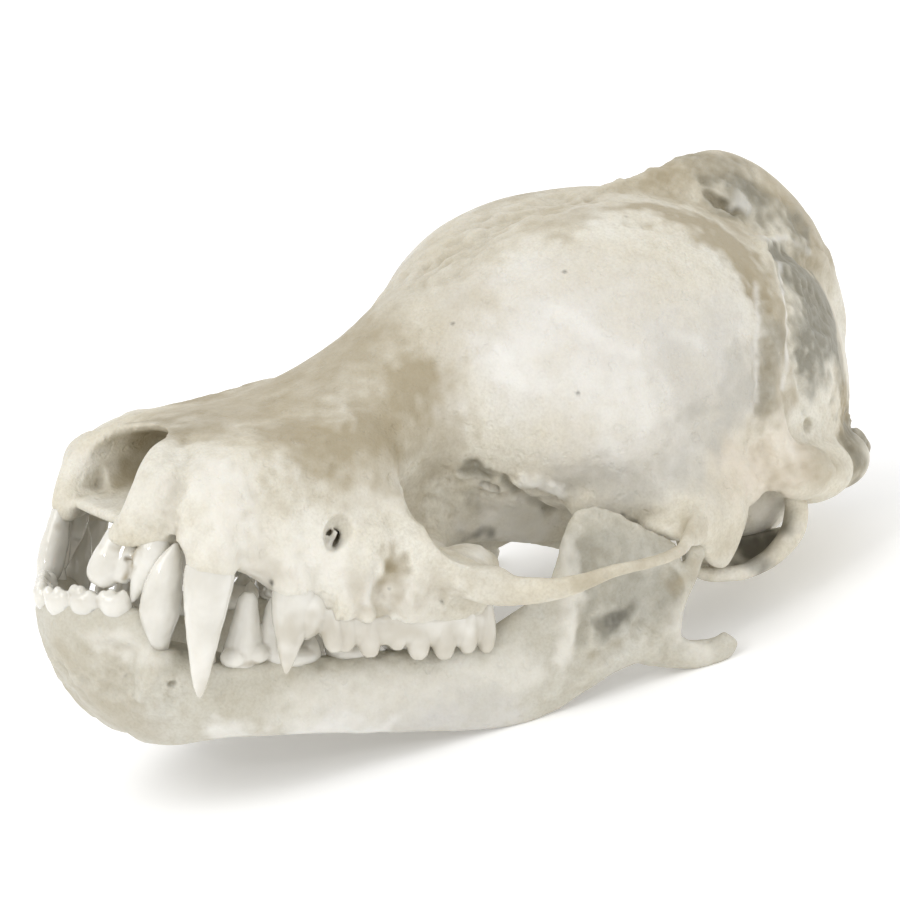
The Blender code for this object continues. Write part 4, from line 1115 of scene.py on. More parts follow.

# %% [markdown]
# Bone is two ivories in large clouds; the jaw gets a darker pair, which paints shade on it. Fine dust,
# the laid stains, the dirt and painted shade of the creases and the wear of the edges lie over them in that
# order, and pores roughen the whole.

# %% Bone
WHITE = (1.0, 1.0, 1.0, 1.0)
IVORY = (0.651, 0.6, 0.478, 1.0)
CHALK = (0.752, 0.728, 0.645, 1.0)
# The jaw's two ivories are the skull's made darker: painted shade over the whole lower jaw.
SHADED_JAW_IVORY = (0.516, 0.486, 0.398, 1.0)
SHADED_JAW_CHALK = (0.588, 0.571, 0.503, 1.0)
# The near-black stain is mostly painted shade in holes, pits, slits, cracks and gaps between teeth, with a
# few specks of dirt. Olive and grey also paint shade in some hollows, and pale and bright paint light on
# some shaded parts.
STAIN_COLOURS = {
    "cool": (0.665, 0.65, 0.63, 1.0),
    "pale": (0.8, 0.775, 0.71, 1.0),
    "peach": (0.7, 0.625, 0.52, 1.0),
    "tan": (0.31, 0.25, 0.145, 1.0),
    "grey": (0.155, 0.145, 0.105, 1.0),
    "olive": (0.24, 0.19, 0.1, 1.0),
    "bright": (0.86, 0.85, 0.815, 1.0),
    "grime": (0.035, 0.03, 0.02, 1.0),
}
OLIVE = STAIN_COLOURS["olive"]
TAN = STAIN_COLOURS["tan"]
STAIN_COVER, HOLLOW_COVER, EDGE_COVER = 0.8, 0.62, 0.6
# Two fine dustings: size in millimetres, detail, where the ramp starts, strength and colour.
DUSTINGS = ((0.35, 4.0, 0.45, 0.2, TAN), (0.07, 3.0, 0.4, 0.22, OLIVE))
DUST_FULL = 0.75
BONE_ROUGHNESS, ROUGHNESS_SPREAD = 0.42, 0.25


def bone(name, base, pale):
    """Dry bone: cloudy ivory, darker in hollows as dirt and painted shade, with stains laid by the strokes.
    """
    finish = Finish(name)
    cloud = finish.ramp(finish.noise(size=2.6, detail=5.0, rough=0.6, warp=0.4), [(0.35, 0.0), (0.68, 1.0)])
    colour = finish.tint(cloud, base, pale)
    for size, detail, start, strength, dust in DUSTINGS:
        cover = finish.ramp(finish.noise(size, detail, rough=0.6), [(start, 0.0), (DUST_FULL, 1.0)])
        colour = finish.tint(cover * strength, colour, dust)
    mottle = finish.ramp(finish.noise(size=0.9, detail=5.0, rough=0.58, warp=0.3),
                         [(0.25, 0.72), (0.7, 1.12)])
    for stain, tint in STAIN_COLOURS.items():
        colour = finish.tint((finish.stain(stain) * mottle).clamped() * STAIN_COVER, colour, tint)
    # Olive in the hollows: dirt and painted shade in the creases.
    colour = finish.tint((finish.stain("hollow") * HOLLOW_COVER).clamped(), colour, OLIVE)
    colour = finish.tint((finish.stain("edge") * EDGE_COVER).clamped(), colour, CHALK)
    fine = finish.noise(size=0.16, detail=5.0, rough=0.65)
    pores = finish.ramp(finish.noise(size=0.3, detail=2.0, rough=0.5), [(0.3, 0.0), (0.42, 1.0)])
    relief = finish.bump(fine * 0.6 + pores * 0.4, strength=0.8, distance=0.05)
    finish.drive(Base_Color=colour, Roughness=BONE_ROUGHNESS + ROUGHNESS_SPREAD * fine, Normal=relief)
    finish.set(Subsurface_Weight=0.12, Subsurface_Radius=(1.0, 0.72, 0.45), Subsurface_Scale=0.00022,
               IOR=1.5)
    return finish.material


bone_skull = bone("bone_skull", IVORY, CHALK)
# A darker copy of the bone, as painted shade for the lower jaw.
shaded_bone_jaw = bone("shaded_bone_jaw", SHADED_JAW_IVORY, SHADED_JAW_CHALK)
print("bone nodes:", len(bone_skull.node_tree.nodes))

# %% [markdown]
# Enamel is smoother and whiter than bone and has a clear coat for the glints.

# %% Enamel
ENAMEL_WHITE = (0.78, 0.76, 0.7, 1.0)
ENAMEL_CREAM = (0.64, 0.615, 0.545, 1.0)
# Brown in the creases of the enamel is dirt and painted shade.
CREASE_SHADE_BROWN = (0.36, 0.3, 0.2, 1.0)
CREASE_SHADE_COVER = 1.1


def enamel(name):
    """Glossy tooth enamel, whiter than bone, creamy in clouds, and brown in the creases as dirt and painted
    shade.
    """
    finish = Finish(name)
    cloud = finish.noise(size=0.9, detail=4.0, rough=0.5, warp=0.3)
    colour = finish.tint(finish.ramp(cloud, [(0.3, 0.0), (0.7, 1.0)]), ENAMEL_WHITE, ENAMEL_CREAM)
    colour = finish.tint((finish.stain("hollow") * CREASE_SHADE_COVER).clamped(), colour, CREASE_SHADE_BROWN)
    # Near-black in the gaps between the teeth is painted shade.
    colour = finish.tint(finish.stain("grime").clamped(), colour, STAIN_COLOURS["grime"])
    colour = finish.tint(finish.stain("tan").clamped(), colour, TAN)
    relief = finish.bump(finish.noise(size=0.4, detail=2.0, rough=0.4), strength=0.3, distance=0.05)
    finish.drive(Base_Color=colour, Normal=relief)
    finish.set(Roughness=0.11, Subsurface_Weight=0.25, Subsurface_Radius=(1.0, 0.9, 0.75),
               Subsurface_Scale=0.0003, IOR=1.6, Coat_Weight=0.6, Coat_Roughness=0.04)
    return finish.material


enamel_finish = enamel("tooth_enamel")
print("enamel nodes:", len(enamel_finish.node_tree.nodes))

# %% [markdown]
# Dirt and shadow colour gather in creases and wear brightens edges. How hollow or how proud a
# point is can be measured: smooth a copy of the skin strongly and see how far each point
# moved along its own normal. The pairs below give the rounds of smoothing and the move in
# millimetres that counts as a full crease or edge.

# %% Crease and edge stains
BONE_RELIEF, RING_RELIEF, TOOTH_RELIEF = (30, 0.1), (12, 0.08), (12, 0.04)
ROUGH_SEED = 20


def mark_relief(skin, rounds, reach):
    """Stains for hollows and proud edges, from how far smoothing moves each point."""
    smoother = skin.thing.copy()
    smoother.data = skin.thing.data.copy()
    bpy.context.scene.collection.objects.link(smoother)
    soften(smoother, rounds)
    moved = np.empty(skin.count * 3, dtype=np.float32)
    smoother.data.vertices.foreach_get("co", moved)
    bpy.data.objects.remove(smoother, do_unlink=True)
    lift = ((moved.reshape(-1, 3) - skin.points) * skin.normals).sum(axis=1)
    skin.stains["hollow"] = np.clip(lift / reach, 0.0, 1.0)
    skin.stains["edge"] = np.clip(-lift / reach, 0.0, 1.0)


def dress(thing, material, slot, *nodes):
    """Rest pose, material, and the solids that the piece stands for."""
    thing.data.transform(TO_REST)
    thing.data.materials.clear()
    thing.data.materials.append(material)
    thing.data.shade_smooth()
    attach(thing, "root")
    if nodes:
        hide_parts(*nodes)


def floor_cut(skin):
    """Plane off what would sink into the floor, as on the solids."""
    tilt = np.array([0.0, -sin(REST_LEAN), cos(REST_LEAN)], dtype=np.float32)
    depth = skin.points @ tilt - REST_FLOOR_Z
    low = depth < 0.0
    skin.points[low] -= depth[low, None] * tilt
    return int(low.sum())


def work_over(thing, relief, melts=(), strokes=(), rough=(), stains=(), planed=False):
    """Blended seams, strokes, uneven parts, relief stains and laid stains on one skin."""
    skin = Skin(thing)
    for path, radius, turns in melts:
        skin.melt(path, radius, turns)
    skin.store()
    for path, radius, height in strokes:
        skin.push(path, radius, height)
    for seed, (path, radius, height, size) in enumerate(rough):
        skin.roughen(path, radius, height, size, ROUGH_SEED + seed)
    if planed:
        print("points planed off:", floor_cut(skin))
    skin.store()
    mark_relief(skin, *relief)
    for name, path, radius, amount in stains:
        skin.stain(name, path, radius, amount)
    skin.store()


print("stain and stroke tools ready")

# %% [markdown]
# ## Modelling one by one
#
# Each row of these tables starts with a path in millimetres on the left side. To blend a
# seam, a radius and the rounds of smoothing follow. An uneven part has a radius, a height and
# the size of its hills.

# %% Seams to blend and uneven parts
CRANIUM_MELTS = (
    (((3.1, 2.4, 5.6), (3.2, 2.15, 4.6)), 0.8, 12),
    (((4.9, 13.1, 4.5), (4.8, 13.7, 4.9), (4.7, 14.5, 5.2), (4.5, 15.2, 5.3)), 0.6, 30),
    (((4.8, 14.3, 4.2),), 0.6, 16),
    (((4.3, 7.6, 3.7), (5.0, 8.4, 3.7)), 0.7, 12),
    (((4.6, 15.7, 5.4), (4.8, 16.4, 5.1)), 0.9, 20),
)
CRANIUM_ROUGH = (
    (((0.3, 15.5, 11.6), (0.8, 17.0, 11.5), (1.1, 18.6, 10.3), (1.0, 19.6, 9.4)), 1.3, 0.05, 0.7),
    (((2.4, 17.8, 9.4), (3.0, 17.9, 8.3), (3.6, 17.4, 7.2), (3.2, 18.6, 6.4)), 1.2, 0.04, 0.5),
    (((1.3, 20.3, 4.7), (1.6, 19.8, 5.6), (2.8, 19.0, 6.0)), 1.0, 0.06, 0.6),
    (((3.6, 15.9, 9.4), (4.4, 15.6, 7.8), (4.6, 15.6, 6.4)), 0.6, 0.03, 0.5),
    (((4.6, 15.2, 5.4), (4.8, 16.4, 5.2), (4.1, 17.6, 5.2)), 1.0, 0.04, 0.6),
    (((1.9, 8.6, 4.8), (2.4, 9.6, 5.3), (2.6, 10.6, 5.0)), 1.1, 0.05, 0.5),
    (((3.6, 4.6, 3.6), (4.1, 6.0, 3.4), (4.3, 7.4, 3.3)), 0.7, 0.03, 0.45),
    (((1.2, 1.2, 5.2), (2.2, 1.4, 5.0), (2.6, 1.6, 5.4)), 0.6, 0.035, 0.5),
    (((0.0, 8.6, 9.1), (2.0, 8.4, 7.6), (2.4, 6.8, 6.8)), 1.6, 0.022, 1.3),
    (((0.5, 4.0, 7.2), (2.0, 4.6, 7.1), (3.2, 5.0, 6.2)), 1.4, 0.02, 1.0),
)
JAW_ROUGH = (
    (((0.0, -0.3, 1.6), (1.5, 0.5, 1.6), (2.3, 1.2, 1.6)), 1.1, 0.045, 0.55),
    (((4.6, 10.2, 4.9), (4.8, 11.4, 5.0), (4.9, 12.4, 4.4)), 0.6, 0.035, 0.5),
    (((4.9, 11.5, 2.4), (5.0, 12.6, 1.9), (5.3, 13.4, 1.7)), 0.7, 0.035, 0.5),
    (((2.9, 4.0, 2.2), (3.4, 7.0, 2.1)), 0.6, 0.03, 0.5),
)
JAW_MELTS = (
    (((0.0, -0.3, 2.8), (0.0, 0.2, 1.6), (0.0, 0.9, 0.4)), 0.7, 20),
    (((2.1, 1.1, 1.3), (2.3, 1.1, 0.8)), 0.7, 20),
    (((4.95, 12.9, 3.2), (4.9, 12.4, 1.9)), 0.5, 10),
)
print("seams:", len(CRANIUM_MELTS + JAW_MELTS), "uneven parts:", len(CRANIUM_ROUGH + JAW_ROUGH))

# %% [markdown]
# A stroke has a path, a radius and a height: positive heights raise the skin, negative ones
# press it in.

# %% Strokes on the snout and in the eye socket
SNOUT_STROKES = (
    (((2.48, 3.14, 6.79), (3.21, 2.58, 6.14), (3.39, 2.31, 5.54), (3.45, 2.05, 4.7)), 0.42, 0.07),
    (((1.3, 2.6, 6.95), (2.35, 1.7, 6.1), (2.6, 1.55, 5.3)), 0.5, -0.09),
    (((3.34, 3.24, 5.87), (3.4, 2.9, 4.7)), 0.55, -0.1),
    (((3.49, 3.95, 5.69), (3.62, 3.64, 3.99)), 0.36, 0.07),
    (((3.6, 4.6, 4.3), (3.7, 4.5, 3.7)), 0.45, -0.06),
    (((3.35, 6.46, 5.74), (4.06, 5.5, 4.53), (4.0, 5.3, 3.2)), 0.4, 0.09),
    (((4.14, 6.0, 4.5), (4.11, 5.9, 3.9), (4.15, 5.9, 3.3)), 0.5, -0.14),
    (((4.23, 6.5, 4.34), (4.19, 6.55, 3.1)), 0.34, 0.08),
    (((4.5, 7.05, 3.45), (4.53, 7.53, 3.36), (4.5, 8.2, 3.25)), 0.4, -0.07),
    (((3.97, 4.81, 3.08),), 0.12, -0.12),
    (((2.8, 5.6, 6.9), (2.1, 6.8, 7.4)), 0.9, -0.06),
)
ORBIT_STROKES = (
    (((2.7, 7.37, 5.77), (2.9, 6.93, 5.41), (3.0, 6.69, 5.14), (3.1, 6.7, 4.87), (3.4, 6.82, 4.53),
      (3.6, 7.03, 4.3), (3.9, 7.25, 4.17)), 0.22, 0.09),
    (((2.45, 7.8, 5.7), (2.7, 7.3, 5.2), (2.9, 7.1, 4.8), (3.3, 7.3, 4.5), (3.8, 7.7, 4.2)),
     0.34, -0.1),
    (((2.16, 9.13, 5.63), (2.4, 9.45, 5.52)), 0.34, -0.12),
    (((2.64, 9.77, 5.52), (2.54, 10.43, 4.99), (2.15, 11.34, 4.48)), 0.26, -0.12),
    (((3.0, 10.2, 5.5), (3.2, 10.7, 5.3)), 0.55, 0.12),
    (((2.25, 9.5, 5.26), (2.33, 9.74, 5.22)), 0.11, -0.26),
    (((1.85, 9.6, 5.0), (1.8, 9.9, 4.7)), 0.4, -0.08),
    (((1.75, 8.6, 4.9), (1.7, 8.9, 4.6)), 0.3, -0.07),
    (((2.6, 8.1, 4.25), (3.1, 8.8, 4.12)), 0.4, 0.05),
)

# %% Strokes on the braincase and the back of the head
VAULT_STROKES = (
    (((0.0, 9.8, 10.1), (0.0, 11.5, 10.95), (0.0, 12.8, 11.2)), 1.7, -0.14),
    (((0.0, 9.8, 10.0), (0.0, 11.5, 10.85), (0.0, 13.0, 11.2)), 0.8, -0.12),
    (((0.0, 9.2, 9.62), (0.0, 10.4, 10.12), (0.0, 11.8, 10.66), (0.0, 13.1, 11.05), (0.0, 14.5, 11.48)),
     0.22, 0.09),
    (((2.2, 13.3, 10.95), (2.86, 14.3, 10.73), (3.16, 15.14, 10.32), (3.4, 15.8, 9.8),
      (3.7, 15.8, 9.4), (4.2, 15.5, 8.4), (4.45, 15.37, 7.07)), 0.4, -0.07),
    (((3.3, 16.5, 9.3), (4.1, 16.0, 8.3), (4.5, 15.7, 7.0), (4.6, 15.8, 6.2)), 0.45, 0.07),
    (((3.0, 17.4, 9.2), (3.6, 17.0, 8.3), (3.9, 16.9, 7.4), (2.6, 18.3, 8.8)), 0.8, -0.12),
    (((2.47, 16.84, 10.4), (1.36, 18.24, 10.07), (1.16, 19.01, 9.67), (0.91, 19.74, 9.19)), 0.34, 0.09),
    (((2.4, 17.2, 9.95), (1.7, 18.2, 9.75), (1.3, 18.9, 9.4)), 0.28, -0.09),
    (((0.95, 16.35, 11.24), (1.05, 16.6, 11.1), (1.1, 16.8, 10.9)), 0.2, -0.2),
    (((0.95, 16.95, 11.15), (1.1, 17.15, 10.95)), 0.28, 0.07),
    (((2.4, 17.35, 9.85), (3.0, 17.1, 9.2), (3.45, 16.95, 8.6)), 0.24, -0.06),
    (((4.58, 12.3, 7.62), (4.57, 12.4, 6.7)), 0.16, 0.02),
    (((0.9, 17.6, 11.3), (1.3, 18.0, 10.8)), 0.6, -0.06),
)
print("strokes:", len(SNOUT_STROKES + ORBIT_STROKES + VAULT_STROKES))

# %% [markdown]
# A stain row names its colour, then gives path, radius and strength. Real bone of this size is so
# thin over the brain that it looks cool and grey, while fat and dust leave it tan over the snout,
# along the crest and in the sockets. Other rows are painted shade in holes, grooves and cracks,
# and painted light on parts in shade, such as the floor of the eye socket and the underside of the jaw.

# %% Stains on the snout and in the eye socket
SNOUT_STAINS = (
    ("pale", ((2.1, 1.2, 5.9), (2.5, 1.6, 5.2)), 0.9, 0.7),
    ("pale", ((3.0, 2.6, 6.2), (3.4, 2.3, 5.0), (3.3, 3.0, 4.6), (3.6, 4.2, 4.3)), 1.4, 1.0),
    ("pale", ((3.7, 4.6, 4.6), (4.1, 5.3, 3.6), (4.2, 6.6, 3.4)), 0.9, 0.9),
    ("pale", ((3.5, 5.6, 5.6), (3.1, 6.4, 5.8)), 0.8, 0.5),
    # Painted light on the bone behind the last molar, which lies in shade.
    ("bright", ((3.84, 8.33, 4.04), (3.4, 8.8, 4.1)), 0.45, 0.7),
    ("pale", ((1.26, 0.9, 6.0), (1.26, 1.5, 5.9)), 0.7, 0.7),
    ("tan", ((4.4, 7.2, 3.6), (5.0, 8.2, 3.6), (5.8, 9.1, 3.7)), 0.8, 0.36),
    # Painted light on the floor of the eye socket and behind the last molar, which lie in shade.
    ("pale", ((2.6, 8.6, 4.1), (2.3, 9.3, 4.1), (1.9, 10.1, 4.6), (1.85, 11.0, 4.1)), 0.9, 1.1),
    ("tan", ((0.4, 3.5, 7.1), (0.5, 5.3, 7.4), (0.5, 6.5, 7.85), (0.4, 7.5, 8.5)), 2.1, 0.9),
    ("tan", ((2.2, 4.8, 7.05), (3.0, 5.4, 6.7), (2.5, 6.6, 7.0), (1.9, 7.6, 7.8)), 1.8, 1.15),
    ("tan", ((3.1, 4.4, 6.4), (3.26, 5.47, 6.35)), 1.2, 0.85),
    ("tan", ((2.5, 7.2, 6.4), (2.2, 8.2, 7.2), (2.2, 8.6, 6.6)), 1.0, 0.62),
    ("tan", ((1.6, 8.2, 8.2), (1.5, 9.4, 9.4)), 1.4, 0.42),
    ("tan", ((4.14, 5.95, 4.45), (4.02, 5.93, 3.9)), 0.46, 1.1),
    ("tan", ((4.15, 6.15, 3.8), (4.15, 6.2, 3.4)), 0.34, 0.6),
    ("tan", ((4.21, 6.2, 3.3), (4.5, 7.3, 3.2), (4.4, 8.4, 3.2)), 0.45, 0.4),
    ("tan", ((2.45, 2.2, 6.3), (2.5, 1.8, 5.6), (2.6, 1.6, 5.0)), 0.36, 0.45),
    ("tan", ((3.34, 3.3, 4.7), (3.5, 3.6, 4.2)), 0.5, 0.35),
    ("tan", ((1.75, 8.0, 5.03), (1.75, 8.25, 5.24), (2.0, 8.4, 5.7), (2.3, 8.2, 6.2)), 0.8, 0.55),
    ("tan", ((4.14, 5.35, 3.9), (4.05, 5.6, 3.1)), 0.6, 0.75),
    ("tan", ((4.02, 5.93, 4.2), (4.05, 6.0, 3.6)), 0.5, 0.5),
    ("tan", ((4.3, 6.8, 3.8), (4.4, 7.1, 3.5)), 0.7, 0.6),
    ("tan", ((2.2, 1.3, 6.0), (2.5, 1.5, 5.3)), 0.8, 0.25),
    # Painted shade deep in the nasal opening and in a groove of the cheek.
    ("olive", ((0.0, 3.4, 6.15),), 1.4, 0.9),
    ("olive", ((0.9, 2.0, 5.55), (1.16, 2.7, 6.1), (1.0, 2.8, 6.45), (0.3, 2.7, 6.8)), 0.75, 0.9),
    ("olive", ((4.08, 5.95, 4.25),), 0.22, 0.7),
    # Painted shade in the slit of the eye socket, the opening in front of the eye, a small pit, the notch
    # beside the canine and the pits at the gum.
    ("grime", ((2.2, 9.45, 5.26), (2.35, 9.8, 5.2)), 0.14, 0.9),
    ("grime", ((3.7, 4.8, 4.84),), 0.3, 0.8),
    ("grime", ((3.95, 4.81, 3.05),), 0.1, 0.8),
    ("grime", ((2.5, 1.6, 4.95),), 0.35, 0.5),
    ("grime", ((2.3, 1.28, 4.89), (2.42, 1.64, 4.98)), 0.14, 1.2),
    ("grime", ((3.22, 2.8, 4.06), (3.2, 2.95, 4.14)), 0.12, 1.0),
    ("grime", ((3.34, 3.42, 4.02),), 0.12, 1.0),
    ("tan", ((1.0, 2.0, 4.4), (1.3, 5.0, 4.6)), 1.1, 0.5),
    ("tan", ((2.3, 7.7, 5.4), (2.55, 7.75, 5.7), (2.5, 7.9, 5.1)), 0.8, 0.28),
    # More painted light on the floor of the eye socket.
    ("pale", ((2.2, 9.4, 4.7), (2.3, 10.4, 4.7), (2.3, 11.2, 4.6)), 0.9, 0.8),
    # Painted shadow on the plate beside the inner nostrils, which lies in the dark inside the skull.
    ("grime", ((2.0, 9.25, 4.1), (1.8, 9.8, 3.84), (1.7, 10.3, 3.62)), 0.36, 1.1),
)

# %% Stains on the braincase and the back of the head
VAULT_STAINS = (
    ("cool", ((3.3, 10.3, 8.9), (4.2, 12.5, 8.2), (4.4, 14.0, 7.6)), 3.2, 0.8),
    ("cool", ((4.0, 11.5, 6.2), (4.5, 13.5, 6.3)), 2.2, 0.7),
    ("cool", ((2.2, 9.2, 7.6),), 1.3, 0.5),
    ("peach", ((4.61, 14.99, 5.5), (4.65, 15.79, 5.19), (4.84, 16.34, 5.63)), 1.2, 1.0),
    ("tan", ((0.0, 8.6, 9.1), (0.0, 10.4, 10.1), (0.0, 13.1, 11.05), (0.0, 15.0, 11.6)), 2.1, 0.5),
    ("tan", ((1.4, 11.8, 10.9), (1.5, 13.3, 11.2), (1.9, 14.4, 11.15)), 1.0, 0.75),
    ("tan", ((1.9, 14.4, 11.15), (2.4, 15.3, 10.8), (3.0, 15.9, 10.0), (3.6, 16.1, 9.3)), 1.05, 1.35),
    ("tan", ((3.6, 16.3, 9.19), (4.2, 16.0, 7.93), (4.45, 15.9, 6.82)), 0.9, 0.95),
    ("tan", ((0.3, 15.2, 11.6), (0.4, 17.0, 11.9), (0.6, 18.5, 11.1), (0.76, 19.2, 10.4),
             (1.0, 19.6, 9.4)), 1.4, 0.95),
    ("tan", ((0.9, 16.6, 11.1), (1.9, 16.5, 10.5)), 1.0, 0.85),
    ("tan", ((3.31, 18.86, 5.32), (2.7, 19.06, 6.4), (1.6, 20.3, 5.0)), 1.2, 1.2),
    ("grey", ((3.31, 18.86, 5.32), (1.5, 20.0, 5.6), (1.6, 20.5, 4.8)), 0.9, 0.9),
    ("tan", ((2.8, 18.9, 7.2), (1.6, 19.4, 8.2)), 0.7, 0.5),
    ("olive", ((4.42, 15.75, 7.6), (4.1, 15.95, 8.5), (3.74, 16.1, 9.19)), 0.3, 0.45),
    ("olive", ((1.6, 9.3, 4.6), (1.9, 10.1, 4.6), (1.7, 11.0, 4.2), (1.5, 12.0, 3.7)), 0.5, 0.26),
    ("grey", ((2.4, 17.8, 9.4), (2.77, 18.04, 8.63), (3.4, 17.6, 7.7)), 1.3, 1.6),
    ("grey", ((1.9, 18.6, 9.1), (2.2, 18.7, 8.4), (2.8, 18.4, 7.6)), 0.9, 1.6),
    ("grey", ((3.7, 17.3, 7.2), (3.9, 17.3, 6.8)), 0.55, 0.9),
    ("grey", ((2.5, 19.05, 7.5), (2.9, 18.7, 6.8)), 0.55, 0.6),
    ("grey", ((0.91, 16.67, 11.06), (1.1, 17.2, 11.2)), 0.7, 1.0),
    ("grey", ((0.68, 16.4, 11.57), (0.75, 17.0, 11.6)), 0.45, 0.8),
    ("grey", ((0.9, 17.4, 11.2), (1.2, 18.1, 10.8), (1.2, 18.8, 10.2)), 0.85, 1.0),
    # Painted shade in the grooves of the eye socket.
    ("grey", ((2.16, 9.13, 5.63), (2.4, 9.45, 5.55)), 0.4, 1.0),
    ("grey", ((2.64, 9.77, 5.52), (2.54, 10.43, 4.99), (2.15, 11.34, 4.48)), 0.26, 0.9),
    ("grey", ((1.85, 9.3, 5.0), (1.8, 9.6, 4.7)), 0.26, 0.4),
    ("grey", ((3.7, 11.1, 5.5), (4.24, 12.4, 5.25), (4.6, 13.7, 5.8), (4.6, 14.2, 6.2)), 0.9, 0.36),
    ("grey", ((4.58, 13.6, 6.8), (4.5, 14.6, 7.0), (4.5, 14.9, 7.8)), 1.0, 0.42),
    # Painted shadow in the crack between the skull base and the rising branch of the jaw.
    ("olive", ((2.6, 11.6, 4.3), (3.2, 12.6, 4.15), (3.8, 13.2, 4.2)), 0.45, 1.0),
    ("tan", ((4.6, 14.0, 4.8), (4.6, 14.4, 4.0)), 0.9, 0.35),
    ("tan", ((6.2, 9.7, 3.82), (6.3, 11.4, 4.14), (5.5, 13.1, 4.48)), 0.6, 0.85),
    ("tan", ((4.94, 16.5, 5.3), (4.8, 17.2, 5.4)), 1.0, 0.8),
    ("olive", ((4.55, 14.85, 4.95),), 0.16, 0.8),
    ("grey", ((4.12, 16.01, 8.56), (4.49, 15.6, 7.04)), 0.6, 0.75),
    ("grey", ((0.42, 16.43, 11.84), (0.64, 17.4, 11.67)), 0.7, 0.45),
    ("grey", ((4.55, 13.2, 8.2), (4.62, 13.73, 7.71), (4.6, 14.2, 8.4)), 1.5, 0.2),
    ("grey", ((4.55, 12.9, 6.5),), 0.5, 0.22),
    # Painted shadow along the lower edge of the side wall, behind the rising branch of the jaw.
    ("grime", ((4.06, 11.99, 4.7), (4.08, 12.38, 4.52), (3.95, 12.87, 4.22)), 0.13, 1.1),
    ("pale", ((3.49, 16.32, 4.09), (3.2, 16.8, 4.4)), 0.9, 0.9),
    # Painted shade in a pit of the crest, the small side hole and the opening for the spinal cord.
    ("grime", ((1.05, 16.6, 11.05),), 0.2, 0.9),
    ("grime", ((4.15, 17.15, 6.2),), 0.26, 0.9),
    ("grime", ((0.0, 19.3, 5.3),), 1.3, 0.8),
)

# Bright veins and ridges, then a few dark specks, join the stains of the braincase. On the ridges and
# bulges the bright lines are partly wear and partly painted highlight.
BRIGHT_LINES = (
    # A painted highlight on the front of the braincase.
    (((2.85, 9.6, 8.45), (3.1, 9.75, 8.05)), 0.55, 0.6),
    (((3.2, 10.3, 8.6), (3.7, 11.2, 7.9), (4.3, 11.9, 7.6)), 1.0, 0.35),
    (((3.47, 10.7, 9.29), (4.08, 11.4, 8.87), (4.43, 12.1, 8.46)), 0.34, 0.36),
    (((4.43, 12.1, 8.46), (4.58, 12.3, 7.62), (4.57, 12.4, 6.7)), 0.34, 0.4),
    (((4.43, 12.1, 8.46), (4.5, 12.6, 8.0), (4.62, 12.8, 7.5)), 0.24, 0.34),
    (((4.3, 11.4, 6.9), (4.4, 11.7, 6.2), (4.3, 11.8, 5.7)), 0.5, 0.36),
    (((3.26, 9.83, 7.98), (3.87, 10.5, 7.68), (4.45, 11.7, 7.43)), 0.4, 0.26),
    (((4.6, 12.9, 9.0), (4.5, 13.6, 8.6)), 0.3, 0.3),
    # From here on the lines run along ridges and over bulges: partly worn bone, partly painted highlight.
    (((3.54, 15.97, 9.54), (4.27, 15.5, 8.4), (4.49, 15.37, 7.07)), 0.15, 0.6),
    (((2.37, 17.39, 9.82), (3.28, 16.95, 9.2), (3.97, 16.53, 8.26), (4.3, 16.2, 7.2)), 0.17, 0.7),
    (((2.47, 16.84, 10.4), (1.36, 18.24, 10.07), (1.16, 19.01, 9.67)), 0.14, 0.5),
    (((0.0, 9.6, 9.82), (0.0, 11.8, 10.7), (0.0, 13.1, 11.05), (0.0, 14.8, 11.5)), 0.12, 0.5),
    (((1.0, 17.0, 11.1), (1.15, 17.2, 10.95)), 0.26, 0.7),
    (((3.05, 10.25, 5.5), (3.25, 10.7, 5.3)), 0.45, 0.9),
    (((4.05, 5.6, 4.4), (4.12, 5.4, 3.6)), 0.24, 0.6),
)
SPECKS = ((1.72, 8.99, 8.97), (2.96, 11.17, 10.15), (4.08, 10.84, 7.61), (2.0, 13.42, 11.1),
          (3.6, 6.6, 4.2), (4.1, 6.0, 3.7), (3.9, 3.7, 4.6), (4.3, 7.2, 3.3))
VAULT_STAINS += tuple(("bright", *row) for row in BRIGHT_LINES)
VAULT_STAINS += tuple(("grime", (spot,), 0.075, 1.0) for spot in SPECKS)
print("stains:", len(SNOUT_STAINS + VAULT_STAINS))

# %% [markdown]
# The jaw is cleaner than the skull, and its bone is darker, which paints shade on it. Its rising
# branch is thin enough to look grey, with one dark spot in the hollow of the chewing muscle. A few
# rows paint light under the jaw body and shade in a groove and a small pit.

# %% Strokes and stains of the jaw
JAW_STROKES = (
    (((4.49, 10.32, 4.28), (4.66, 10.34, 3.6), (4.69, 10.37, 3.05), (4.6, 10.15, 1.79), (4.49, 9.9, 0.9)),
     0.3, 0.07),
    (((4.77, 10.8, 4.2), (4.81, 10.8, 3.02), (4.75, 10.58, 2.12), (4.66, 10.4, 1.5)), 0.36, -0.06),
    (((4.8, 10.7, 1.6), (4.9, 11.6, 2.0), (4.96, 12.2, 2.3)), 0.36, -0.08),
    (((4.8, 10.5, 1.2), (4.92, 11.7, 1.6), (5.02, 12.6, 1.8)), 0.3, 0.06),
    (((5.1, 13.0, 2.9), (5.12, 12.9, 2.2)), 0.25, 0.06),
    (((2.52, 1.42, 1.8),), 0.13, -0.12),
    (((2.52, 1.3, 1.95), (2.5, 1.55, 1.7)), 0.25, 0.05),
    (((4.9, 11.3, 3.6), (4.95, 11.9, 3.3)), 0.9, -0.07),
    (((3.3, 5.2, 0.9), (3.8, 7.5, 0.9)), 0.8, 0.05),
    (((1.95, 0.9, 2.2), (1.3, 0.5, 1.6)), 0.5, -0.05),
)
